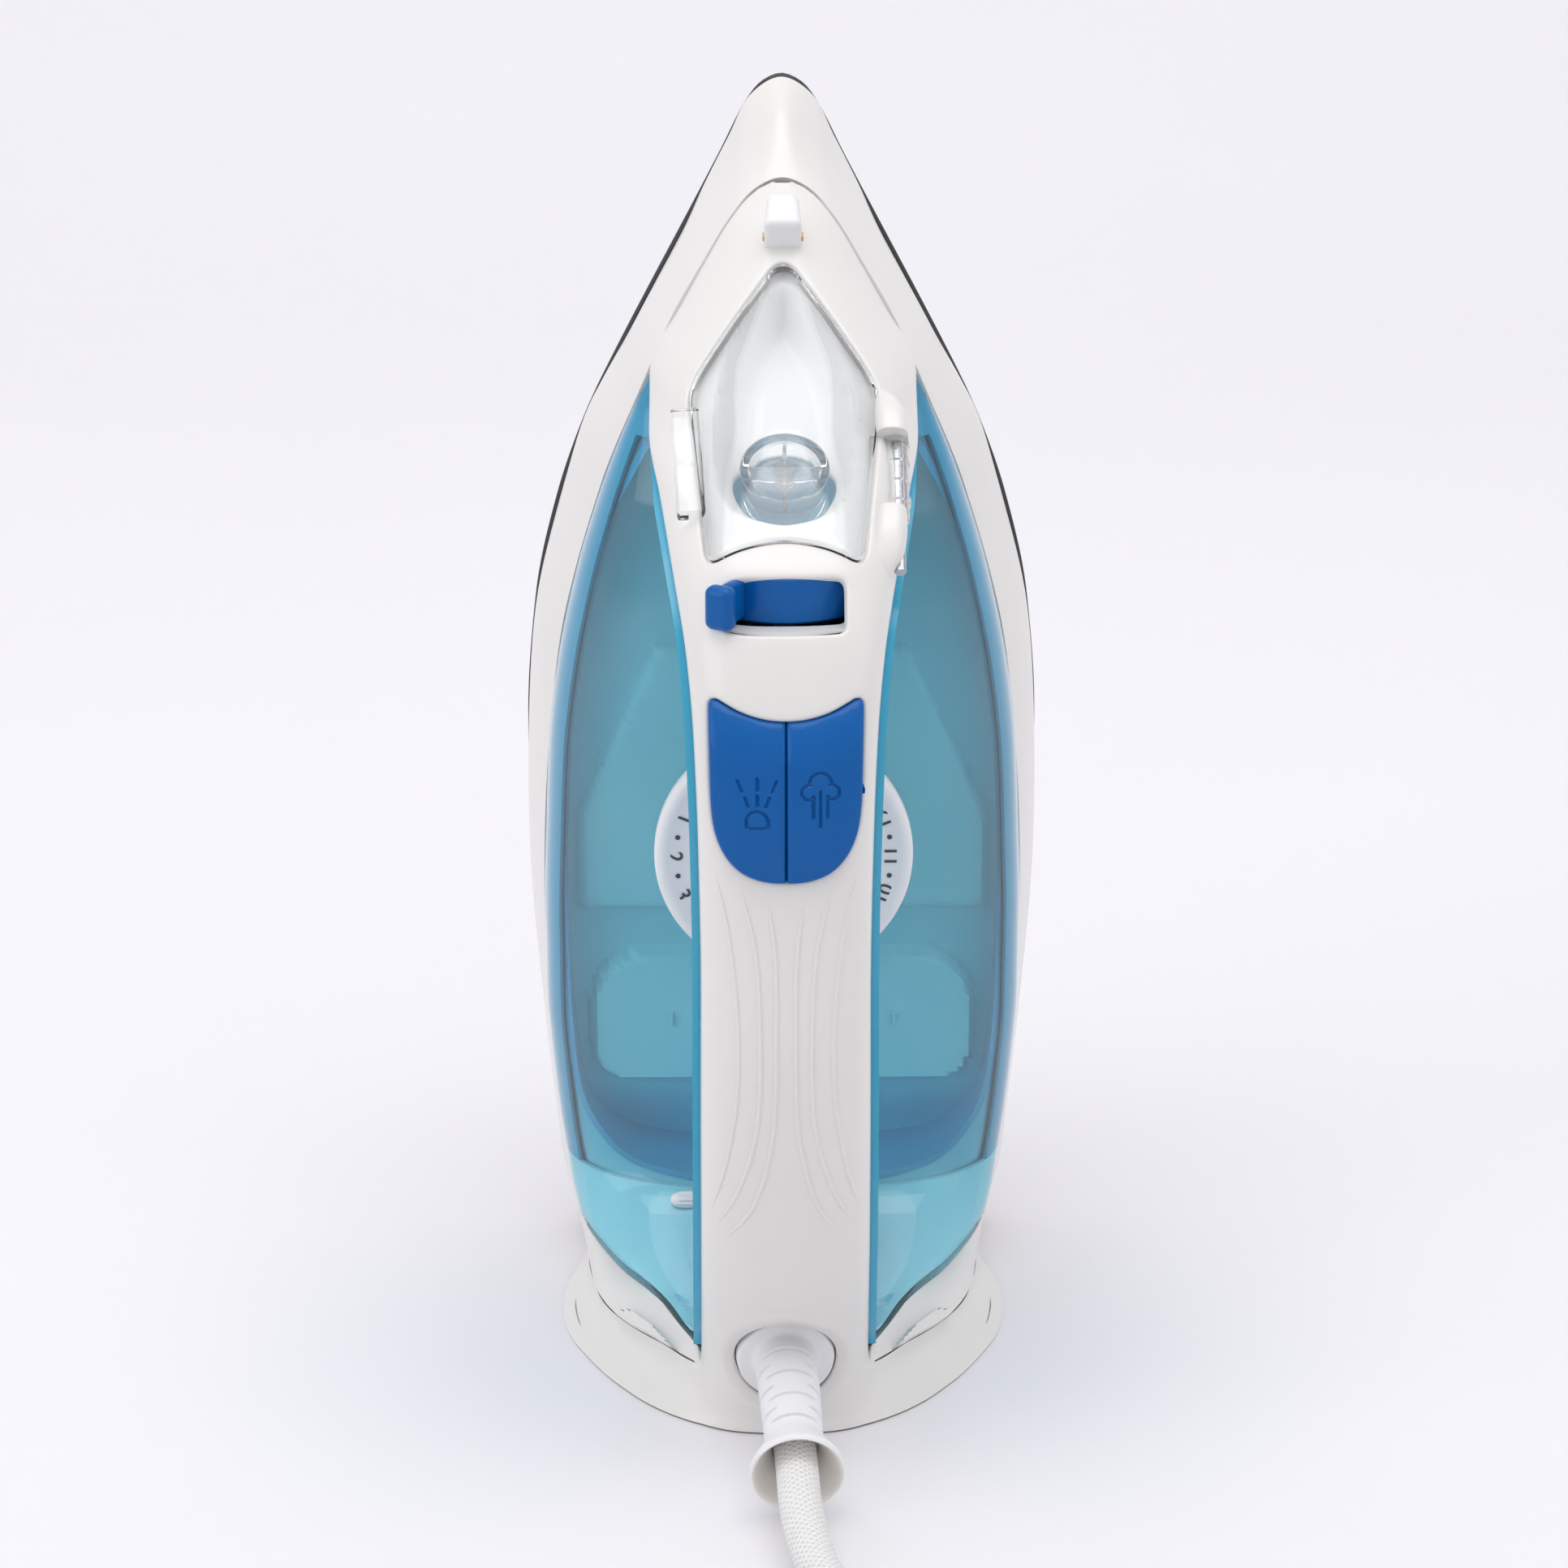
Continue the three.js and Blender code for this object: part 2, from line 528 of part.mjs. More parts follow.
function buildTank() {
  const hollow = cut(tankBody(0), tankBody(TANK_WALL, 6, 10));
  const openings = [
    rod(6, [50, 80], { z: DIAL_Z }),
    rod(2.2, [50, 80], { z: STEM_Z, sides: 10 }),
    rod(NECK_SPOUT.radius + GAP, [50, 80], { z: NECK_SPOUT.z }),
    ...[-PUMP_X, PUMP_X].map((x) => rod(2.9, [50, 80], { x, z: PUMP_Z, sides: 12 })),
    plugHole(3.4),
  ];
  piece("tank_shell", TANK_BLUE, mainBody(cut(hollow, ...openings)));

  const inside = 2.9; // from the seam to the base's upstand, which laps inside the tank's rim
  const stations = [27, 34, 45, 60, 90, 125, 150, 170, 185, 200, 212, 221, 227];
  const tray = (inset, floor, rimDrop) =>
    loft(stations.map((z) => {
      const half = seamWidth(z) - inside - inset;
      const rim = seamH(z) + 1.2 - rimDrop;
      return [point(-half, z, floor), point(half, z, floor), point(half, z, rim), point(-half, z, rim)];
    }));
  const outline = mirrored(stations.map((z) => [seamWidth(z) - inside - 0.4, z]));
  const floorPlate = slab(shapeOf(outline), [TANK_FLOOR_H, TANK_FLOOR_H + 2]);
  const walls = cut(tray(0, TANK_FLOOR_H + 0.5, 0), tray(1.6, TANK_FLOOR_H - 2, -3));
  const front = block([-23, 23], [225.4, 227], [TANK_FLOOR_H + 1, 40]);
  const rear = block([-46.4, 46.4], [27, 28.6], [TANK_FLOOR_H + 1, 32.6]);
  const tower = rod(5.4, [TANK_FLOOR_H + 1, 66.4], { z: DIAL_Z });
  const shaftBore = rod(3.7, [TANK_FLOOR_H - 1, 70], { z: DIAL_Z });
  const seatHole = rod(3.8, [TANK_FLOOR_H - 1, 30], { z: STEM_Z });
  const base = join(floorPlate, walls, front, rear, tower);
  piece("tank_base", TANK_BLUE, mainBody(cut(base, shaftBore, seatHole, tankClearance())));

  piece("valve_seat", BRASS, turned(
    [[1, 21.6], [3.4, 21.6], [3.4, 26.4], [4.8, 26.4], [4.8, 28], [2.4, 28], [1, 26]],
    { z: STEM_Z, sides: 10 },
  ));
  piece("tank_plug", TRIM_WHITE, plugBody());
}

// The tank shell's wall, grown a little, which the base has to stay clear of.
const tankClearance = () => cut(tankBody(-GAP, 0.6), tankBody(TANK_WALL + GAP, 12));

const PLUG_PLACE = { x: -23.5, z: 31, h: 73.5, tilt: THREE.MathUtils.degToRad(-34) };

function onRamp(geometry) {
  const { x, z, h, tilt } = PLUG_PLACE;
  return geometry.rotateX(tilt).translate(x, SOLE_Y - h, z);
}
const plugHole = (radius) => onRamp(new THREE.CylinderGeometry(radius, radius, 16, 16));
const plugBody = () =>
  onRamp(join(
    new THREE.CylinderGeometry(3, 3, 8, 16).translate(0, 1, 0),
    new THREE.CylinderGeometry(4.3, 4.3, 1.6, 16).translate(0, -3.4, 0),
  ));

// ---- Handle ----

// Floor outline of the heel's flange: [x, h], down the right side from the handle to the sole.
const HEEL_OUTLINE = [
  [0, 116.8], [9.5, 115.4], [18.3, 110.6], [31.3, 98.2], [43.4, 83.3], [51, 68], [53.6, 55],
  [53, 42], [50, 29], [44, 17], [34, 11.4], [20, 10], [0, 10],
];
const HEEL_MIDDLE_H = 60;

function heelRing(z, scaleX, scaleH, inset = 0) {
  const right = HEEL_OUTLINE.map(([x, h]) => {
    const dx = x * scaleX;
    const dh = (h - HEEL_MIDDLE_H) * scaleH;
    const reach = Math.hypot(dx, dh);
    return [dx * (1 - inset / reach), HEEL_MIDDLE_H + dh * (1 - inset / reach)];
  });
  return mirrored(right).map(([x, h]) => point(x, z, h));
}

// Outer height, and the outline's scale across and along h.
const HEEL_FLARE = [[0.8, 1, 1], [2.4, 1, 1], [4, 0.965, 0.99], [6.4, 0.915, 0.985], [9, 0.89, 0.98]];

function buildHandle() {
  const crown = cut(crownBody(0), crownBody(WALL, 8, 10));
  const flange = loft(HEEL_FLARE.map(([z, scaleX, scaleH]) => heelRing(z, scaleX, scaleH)));
  const hollowRings = [[-1, 1, 1], [3, 1, 1], [7.2, 0.9, 0.98]];
  const flangeHollow = loft(hollowRings.map(([z, scaleX, scaleH]) => heelRing(z, scaleX, scaleH, 2.8)));
  const column = cut(
    block([-18.2, 18.2], [7, 16], [103.4, 115]),
    block([-15.6, 15.6], [0, 20], [88, 130]),
  );
  const wireSlots = [block([-9, 9], [5, 12], [92, 106]), block([-9, 9], [5, 12], [12.6, 20])];
  const rib = common(crownBody(WALL - 0.4, 8), block([-17, 17], SELECTOR_RIB_Z, [102, 140]));
  const onSelectorAxis = (radius, [from, to], sides = 12) =>
    spun([[0, from], [radius, from], [radius, to], [0, to]], sides).translate(0, SOLE_Y - SELECTOR_H, 0);
  const axleBore = onSelectorAxis(2, [190, 198]);
  const openings = [
    inLidFrame(lidPrism(0.5, [-30, 12])),
    inLidFrame(boxOf([18, 29], [-32.2, -9.2], [-16, 12])),
    ...LID_SWEEP.map((angle) => inLidFrame(sweptLid(angle))),
    onSelectorAxis(SELECTOR_RADIUS + 0.6, [198.4, 207.6], 36),
    inLidFrame(nozzleBox(0.4)),
    block([-14.7, 12.6], [198.4, 207.6], [112, 140]),
    buttonPair(0.5, [120, 160]),
    socketBore(),
  ];
  const bosses = [[-42.6, -32.2], [-9.2, -1]].map(([from, to]) => inLidFrame(hingeBoss(from, to)));
  const pinBore = inLidFrame(alongU(1.55, [-44, 0], 8));
  const shell = join(crown, flange, column, rib);
  const opened = cut(shell, flangeHollow, ...openings, ...wireSlots, axleBore);
  piece("handle_top", SHELL_WHITE, mainBody(cut(join(opened, ...bosses), pinBore)));

  piece("handle_lower", TANK_BLUE, lowerHandle());
  const coverOutline = heelRing(0, 1, 1, 3.2).map(([x, y]) => [x, y]);
  const cover = new THREE.ExtrudeGeometry(
    shapeOf(coverOutline, HEEL_SCREWS.map(([x, y]) => circle(2, 12, x, y))),
    { depth: 2.2, bevelEnabled: false },
  );
  piece("heel_cover", HEEL_GREY, cover);
  HEEL_SCREWS.forEach(([x, y], i) => {
    const screw = spun([[0, 0.5], [1.5, 0.5], [1.5, 6.4], [0, 6.9]], 12);
    piece(["heel_screw_left", "heel_screw_right"][i], STEEL, screw.translate(x, y, 0));
  });
}
const HEEL_SCREWS = [[-30, SOLE_Y - 60], [30, SOLE_Y - 60]];

// Underside of the handle and its two columns, as the h of the lowest point at each z.
const gripUnderH = profile([
  [15, 30], [36, 30], [39, 58], [43, 72], [48, 95], [54, 109], [62, 112], [150, 112], [157, 109],
  [163, 95], [168, 72], [172, 58], [175, 30], [232, 30],
]);

// The blue liner of the handle: a channel whose ends run down as columns onto the tank.
function lowerHandle() {
  const stations = [
    15.6, 25, 36, 39, 42, 45, 48, 51, 54, 59, 66, 108, 148, 154, 158, 160.5, 163,
    166, 169, 172, 175, 184, 196, 204, 210, 216, 222, 225,
  ];
  const channel = (inset) =>
    loft(stations.map((z) => {
      const half = crownWidth(z) - inset;
      const shift = z < 108 ? inset : -inset;
      const under = gripUnderH(z + shift) + inset;
      const rim = crownEdgeH(z) - GAP + (inset ? 30 : 0);
      const round = inset ? 3 : 4.5;
      const low = Math.min(under, rim - round - 1);
      return [
        point(-half, z, rim), point(-half, z, low + round), point(-half + round * 0.3, z, low + round * 0.3),
        point(-half + round, z, low), point(half - round, z, low), point(half - round * 0.3, z, low + round * 0.3),
        point(half, z, low + round), point(half, z, rim),
      ];
    }));
  const hollow = cut(channel(0), channel(2));
  const seat = tankBody(-2 * GAP, 30);
  return mainBody(cut(hollow, seat, crownBody(-GAP, GAP), inLidFrame(hingeRoom()), socketBore()));
}

// ---- Filler, lid and spray nozzle, in the frame of the spine ----

// Turns geometry from the spine's frame (x, u up the ridge, n out of it) into the iron's.
const LID_TURN = Math.atan(1 / SPINE_SLOPE);
const lidMatrix = new THREE.Matrix4()
  .makeRotationX(LID_TURN)
  .setPosition(0, SOLE_Y - LID_ORIGIN.h, LID_ORIGIN.z);
const inLidFrame = (geometry) => geometry.clone().applyMatrix4(lidMatrix);
const outOfLidFrame = (geometry) => geometry.clone().applyMatrix4(lidMatrix.clone().invert());

// Right side of the lid, from its apex to its arched lower edge: [x, u].
const LID_OUTLINE = [
  [0, 37.5], [2.4, 35.6], [12, 21.5], [19.6, 9.4], [21.2, 4.6], [20.9, -2], [17.2, -39.5],
  [15.4, -42.8], [9, -41], [0, -40],
];
const LID_CENTRE_U = -8;

function lidPrism(grow, [fromN, toN]) {
  const right = LID_OUTLINE.map(([x, u]) => {
    const reach = Math.hypot(x, u - LID_CENTRE_U);
    const share = 1 + grow / reach;
    return [x * share, LID_CENTRE_U + (u - LID_CENTRE_U) * share];
  });
  const shape = shapeOf(mirrored(right));
  const depth = toN - fromN;
  return new THREE.ExtrudeGeometry(shape, { depth, bevelEnabled: false }).translate(0, 0, fromN);
}

function boxOf([x0, x1], [u0, u1], [n0, n1]) {
  const box = new THREE.BoxGeometry(x1 - x0, u1 - u0, n1 - n0);
  return box.translate((x0 + x1) / 2, (u0 + u1) / 2, (n0 + n1) / 2);
}

function alongU(radius, [from, to], sides = 16) {
  const rodAlong = new THREE.CylinderGeometry(radius, radius, to - from, sides);
  return rodAlong.translate(LID_HINGE.x, (from + to) / 2, LID_HINGE.n);
}

// The room that the lid's hinge side needs at a few angles as the lid opens, in radians.
const LID_SWEEP = [0.05, 0.1, 0.2, 0.3, 0.45];
const LID_CLEARANCE = 0.4;

function sweptLid(angle) {
  const outside = outOfLidFrame(crownBody(-LID_CLEARANCE, 0));
  const inside = outOfLidFrame(crownBody(WALL + LID_CLEARANCE, 8));
  const plate = cut(common(outside, lidPrism(LID_CLEARANCE, [-16, 6])), inside);
  plate.translate(-LID_HINGE.x, 0, -LID_HINGE.n).rotateY(angle).translate(LID_HINGE.x, 0, LID_HINGE.n);
  return common(plate, boxOf([1, 30], [-50, 40], [-20, 8]));
}

const hingeBoss = (from, to) =>
  join(alongU(3, [from, to]), boxOf([21.5, 26.6], [from, to], [LID_HINGE.n - 5, LID_HINGE.n]));
const hingeRoom = () => boxOf([20, 29], [-44, 0], [LID_HINGE.n - 6, LID_HINGE.n + 4]);
const nozzleBox = (grow) =>
  boxOf([-4.3 - grow, 4.3 + grow], [43 - grow, 53 + grow], [-4, 3.6 + grow]);

// The egg-shaped bowl: [x, u] down the right side, wider towards the filler hole.
const BOWL_OUTLINE = [
  [0, 30], [6, 28], [11, 21], [13.8, 11], [15, 0], [15.2, -12], [14, -22], [10, -29.6], [0, -33],
];

function bowlPrism(grow, [fromN, toN]) {
  const right = BOWL_OUTLINE.map(([x, u]) => {
    const reach = Math.hypot(x, u + 6);
    return [x * (1 + grow / reach), -6 + (u + 6) * (1 + grow / reach)];
  });
  const depth = toN - fromN;
  const prism = new THREE.ExtrudeGeometry(shapeOf(mirrored(right)), { depth, bevelEnabled: false });
  return prism.translate(0, 0, fromN);
}

const alongN = (points, u, sides) => spun(points, sides).translate(0, u, 0);

function buildFiller() {
  const lidGroup = new THREE.Group();
  lidGroup.position.set(0, SOLE_Y - LID_ORIGIN.h, LID_ORIGIN.z);
  lidGroup.rotation.x = LID_TURN;
  iron.add(lidGroup);

  const panel = cut(
    common(outOfLidFrame(crownBody(0, 0)), lidPrism(0, [-30, 6])),
    outOfLidFrame(crownBody(WALL, 8)),
  );
  const tab = boxOf([-27.4, -18], [-27, -3], [-3.8, -1.4]);
  const barrel = alongU(2.7, [-31.6, -9.8]);
  const arm = boxOf([17.4, 23.4], [-31.6, -9.8], [-9.6, -6.6]);
  const stopper = alongN([[0, -15.6], [8.6, -15.6], [9.4, -14], [9.4, -2.6], [0, -2.6]], LID_HOLE_U, 20);
  const pinBore = alongU(1.55, [-34, -8], 12);
  const lid = cut(join(panel, barrel, arm, stopper, tab), pinBore);
  piece("filler_lid", CLEAR, lid, lidGroup);
  piece("lid_hinge_pin", STEEL, alongU(1.2, [-42.2, -1.4], 12), lidGroup);

  const shellInside = outOfLidFrame(crownBody(WALL + GAP, 0));
  const bowl = common(bowlPrism(1.8, [-15.4, 0]), shellInside);
  const cavity = bowlPrism(0, [-13.4, 4]);
  const neckTop = alongN([[0, -30], [12.6, -30], [12.6, -14], [0, -14]], LID_HOLE_U, 20);
  const neckBore = alongN([[0, -28], [11, -28], [11, -10], [0, -10]], LID_HOLE_U, 20);
  const spout = outOfLidFrame(rod(NECK_SPOUT.radius, [56, 88], { z: NECK_SPOUT.z, sides: 20 }));
  const spoutBore = outOfLidFrame(rod(6, [50, 88], { z: NECK_SPOUT.z, sides: 20 }));
  const filler = cut(join(bowl, neckTop, spout), cavity, neckBore, spoutBore);
  piece("filler_bowl", TRIM_WHITE, mainBody(filler), lidGroup);

  const housing = cut(nozzleBox(0), alongV(2.1, [46, 56]));
  piece("nozzle_housing", TRIM_WHITE, housing, lidGroup);
  piece("nozzle_tip", BRASS, cut(alongV(1.75, [47, 54.2]), alongV(0.5, [50, 56])), lidGroup);
}

// A rod along the ridge, through the nozzle's box.
const alongV = (radius, [from, to]) =>
  new THREE.CylinderGeometry(radius, radius, to - from, 12).translate(0, (from + to) / 2, 0.4);

// ---- Selector, buttons and pumps ----

function buildSelector() {
  const group = new THREE.Group();
  group.position.set(0, SOLE_Y - SELECTOR_H, 0);
  iron.add(group);
  // Angles run from straight out of the handle towards +x; the band reaches round to the left
  // so that it still fills the window when the tab stands at the right.
  const [fromAngle, toAngle] = [-112, 40].map(THREE.MathUtils.degToRad);
  const inner = SELECTOR_RADIUS - 2.6;
  const place = (radius, angle) => [radius * Math.sin(angle), -radius * Math.cos(angle)];
  const angles = Array.from({ length: 17 }, (_, i) => THREE.MathUtils.lerp(fromAngle, toAngle, i / 16));
  const bandShape = shapeOf([
    ...angles.map((angle) => place(SELECTOR_RADIUS, angle)),
    ...angles.reverse().map((angle) => place(inner, angle)),
  ]);
  const webShape = shapeOf([
    ...angles.filter((_, i) => i >= 4 && i <= 12).map((angle) => place(inner + 1, angle)),
    [-3, 1], [3, 1],
  ]);
  const depth = SELECTOR_Z[1] - SELECTOR_Z[0];
  const band = new THREE.ExtrudeGeometry(bandShape, { depth, bevelEnabled: false });
  const web = new THREE.ExtrudeGeometry(webShape, { depth: 1.8, bevelEnabled: false });
  const hub = spun([[0, 0], [4, 0], [4, 5], [0, 5]], 12);
  const tabAngle = THREE.MathUtils.degToRad(-34);
  const tab = new THREE.BoxGeometry(4.4, 4, depth - 1.2);
  tab.translate(0, -SELECTOR_RADIUS, depth / 2).rotateZ(tabAngle);
  const bore = spun([[0, -1], [1.9, -1], [1.9, 12], [0, 12]], 12);
  const selector = cut(join(band, web, hub, tab), bore);
  piece("steam_selector", BUTTON_BLUE, selector.translate(0, 0, SELECTOR_Z[0]), group);
  const axle = spun([[0, 194.6], [1.6, 194.6], [1.6, 203.6], [0, 203.6]], 12);
  piece("selector_axle", STEEL, axle, group);

  const stem = turned(
    [[0, 28.6], [2, 29.6], [2, 33], [1.3, 33.6], [1.3, 92], [3.2, 92], [3.2, 96], [0, 96]],
    { z: STEM_Z, sides: 12 },
  );
  piece("valve_stem", TRIM_WHITE, stem);
}

// Right half of the two buttons' common outline: [x, z].
const BUTTON_OUTLINE = [
  [0, 180.2], [8, 182], [BUTTON_HALF_WIDTH - 1, BUTTON_Z[1]], [BUTTON_HALF_WIDTH, 184.6],
  [16, 160], [14.2, 153.4], [10.6, 148.6], [5.6, 146.3], [0, BUTTON_Z[0]],
];

function buttonPair(grow, span) {
  const middle = (BUTTON_Z[0] + BUTTON_Z[1]) / 2;
  const right = BUTTON_OUTLINE.map(([x, z]) => {
    const reach = Math.hypot(x, z - middle);
    return [x * (1 + grow / reach), middle + (z - middle) * (1 + grow / reach)];
  });
  return slab(shapeOf(mirrored(right)), span);
}

// A surface a given distance above the handle's crown, as a body that reaches far down.
function aboveCrown(rise) {
  const stations = [140, 150, 160, 170, 180, 190];
  return loft(stations.map((z) => {
    const top = Array.from({ length: 13 }, (_, i) => {
      const x = -18 + 3 * i;
      return point(x, z, crownH(x * 0.9, z) + rise(z));
    });
    return [...top, point(18, z, 100), point(-18, z, 100)];
  }));
}

function buildButtons() {
  const domed = (lift) => (z) => lift + BUTTON_PROUD * (1 - ((z - 165) / 34) ** 2);
  const outer = common(buttonPair(0, [128, 160]), aboveCrown(domed(0)));
  const inner = common(buttonPair(-1.9, [120, 160]), aboveCrown(domed(-2.4)));
  const cap = cut(outer, inner);
  for (const [side, label] of [[-1, "spray"], [1, "steam"]]) {
    const x = side * PUMP_X;
    const half = side < 0 ? [-30, -0.25] : [0.25, 30];
    const capHalf = common(cap, block(half, [140, 192], [100, 160]));
    const middleWall = common(outer, block(side < 0 ? [-1.9, -0.25] : [0.25, 1.9], [140, 192], [128, 160]));
    const post = common(rod(3.4, [121.8, 150], { x, z: PUMP_Z }), aboveCrown(domed(-1)));
    piece(label + "_button", BUTTON_BLUE, mainBody(join(capHalf, middleWall, post)));
    piece(label + "_piston", TRIM_WHITE, turned(
      [[0, 96], [4.3, 96], [4.3, 102], [1.9, 102], [1.9, 121.4], [0, 121.4]],
      { x, z: PUMP_Z, sides: 12 },
    ));
    piece(label + "_cylinder", TRIM_WHITE, turned(
      [
        [1, 40], [2.4, 40], [2.4, 84], [6.2, 84], [6.2, 103.6], [7.4, 103.6], [7.4, 105], [6.2, 105],
        [6.2, 112], [4.7, 112], [4.7, 87], [1, 87],
      ],
      { x, z: PUMP_Z, sides: 12 },
    ));
    piece(label + "_spring", STEEL, springAlongH(4.9, [112.9, 120.6], { x, z: PUMP_Z }));
  }
  const bracketShape = shapeOf(
    [[-16.4, 169.4], [16.4, 169.4], [17.2, 186], [-17.2, 186]],
    [-PUMP_X, PUMP_X].map((x) => circle(6.6, 16, x, PUMP_Z)),
  );
  piece("pump_bracket", TRIM_WHITE, slab(bracketShape, [100.8, 103.2]));
}

function springAlongH(radius, [fromH, toH], { x, z }) {
  const [turns, perTurn] = [3, 8];
  const points = Array.from({ length: turns * perTurn + 1 }, (_, i) => {
    const angle = (2 * Math.PI * i) / perTurn;
    const h = THREE.MathUtils.lerp(fromH, toH, i / (turns * perTurn));
    return point(x + radius * Math.cos(angle), z + radius * Math.sin(angle), h);
  });
  return tubeThrough(points, 0.55, { sides: 4, steps: turns * perTurn });
}

// ---- Dial, hoses and wiring ----

function buildDial() {
  const [low, high] = DIAL_H;
  const dial = turned(
    [
      [0, low], [DIAL_RADIUS - 1, low], [DIAL_RADIUS, low + 0.8], [DIAL_RADIUS, high - 1.2],
      [DIAL_RADIUS - 1, high - 0.3], [DIAL_RADIUS - 4, high], [DIAL_RADIUS - 5, high - 0.5], [0, high - 0.5],
    ],
    { z: DIAL_Z, sides: 36 },
  );
  const pointer = block([-1, 1], [DIAL_Z + 24, DIAL_Z + DIAL_RADIUS + 1.2], [low + 0.5, high - 0.2]);
  const socket = rod(3.3, [low - 1, low + 3.4], { z: DIAL_Z });
  piece("temperature_dial", TRIM_WHITE, cut(join(dial, pointer), socket));
  piece("thermostat_shaft", STEEL, rod(2.9, [19.2, low + 3], { z: DIAL_Z }));
}

function buildHoses() {
  const spray = [
    [-PUMP_X, 184.4, 90], [-9.8, 187.4, 86], [-15, 194, 76], [-16.6, 206, 71], [-14, 222, 62],
    [-8, 238, 54.5], [-3, 250, 49.5], [0, 257, 47.5],
  ];
  const steam = [
    [PUMP_X, 184.4, 90], [9.8, 187.4, 86], [15, 194, 76], [16.6, 206, 71], [16, 222, 64],
    [15, 233, 56], [14, 236.6, 44], [13, 235.6, 34], [12.2, 233, 26], [11.2, 229.6, 19.6],
    [9, 221, 17.4], [5, 208, 16],
  ];
  const hose = (points) => tubeThrough(points.map((p) => point(...p)), 1.5, { sides: 5, steps: 16 });
  piece("spray_hose", RUBBER, hose(spray));
  piece("steam_hose", RUBBER, hose(steam));
}

function buildWiring() {
  piece("terminal_block", CERAMIC, block([-11, 11], [40, 52], [114.6, 122]));
  const clamp = join(block([-10.5, 10.5], [37, 39], [112, 124]), block([-7, 7], [37, 40.6], [112, 114]));
  piece("cord_clamp", TRIM_WHITE, clamp);
  const wires = [["wire_live", -6, WIRE_BROWN], ["wire_earth", 0, WIRE_GREEN], ["wire_neutral", 6, WIRE_BLUE]];
  for (const [name, x, finish] of wires) {
    const route = [
      [x, 39.6, 109.4], [x, 34, 105.4], [x, 26, 104], [x, 18, 104.4], [x, 12, 104.6],
      [x, 7.6, 101], [x, 4.9, 92], [x, 4.9, 60],
      [x, 4.9, 26], [x, 6.5, 17.5], [x, 14, 14], [x, 34, 15], [x * 1.6, 50, 17.6],
    ];
    const wire = tubeThrough(route.map((p) => point(...p)), 1.1, { sides: 5, steps: 18 });
    piece(name, finish, wire);
  }
}

// ---- Cord ----

// The guard's own frame: its axis is z, out of the handle, and turns down to the floor.
const guardMatrix = new THREE.Matrix4()
  .makeRotationX(Math.PI / 2 + CORD_TILT)
  .setPosition(0, SOLE_Y - CORD_PIVOT.h, CORD_PIVOT.z);
const inGuardFrame = (geometry) => geometry.clone().applyMatrix4(guardMatrix);
const socketBore = () => inGuardFrame(spun([[0, -12], [14.1, -12], [14.1, 12], [0, 12]], 28));

function along(s) {
  return [0, SOLE_Y - CORD_PIVOT.h - s * Math.cos(CORD_TILT), CORD_PIVOT.z - s * Math.sin(CORD_TILT)];
}

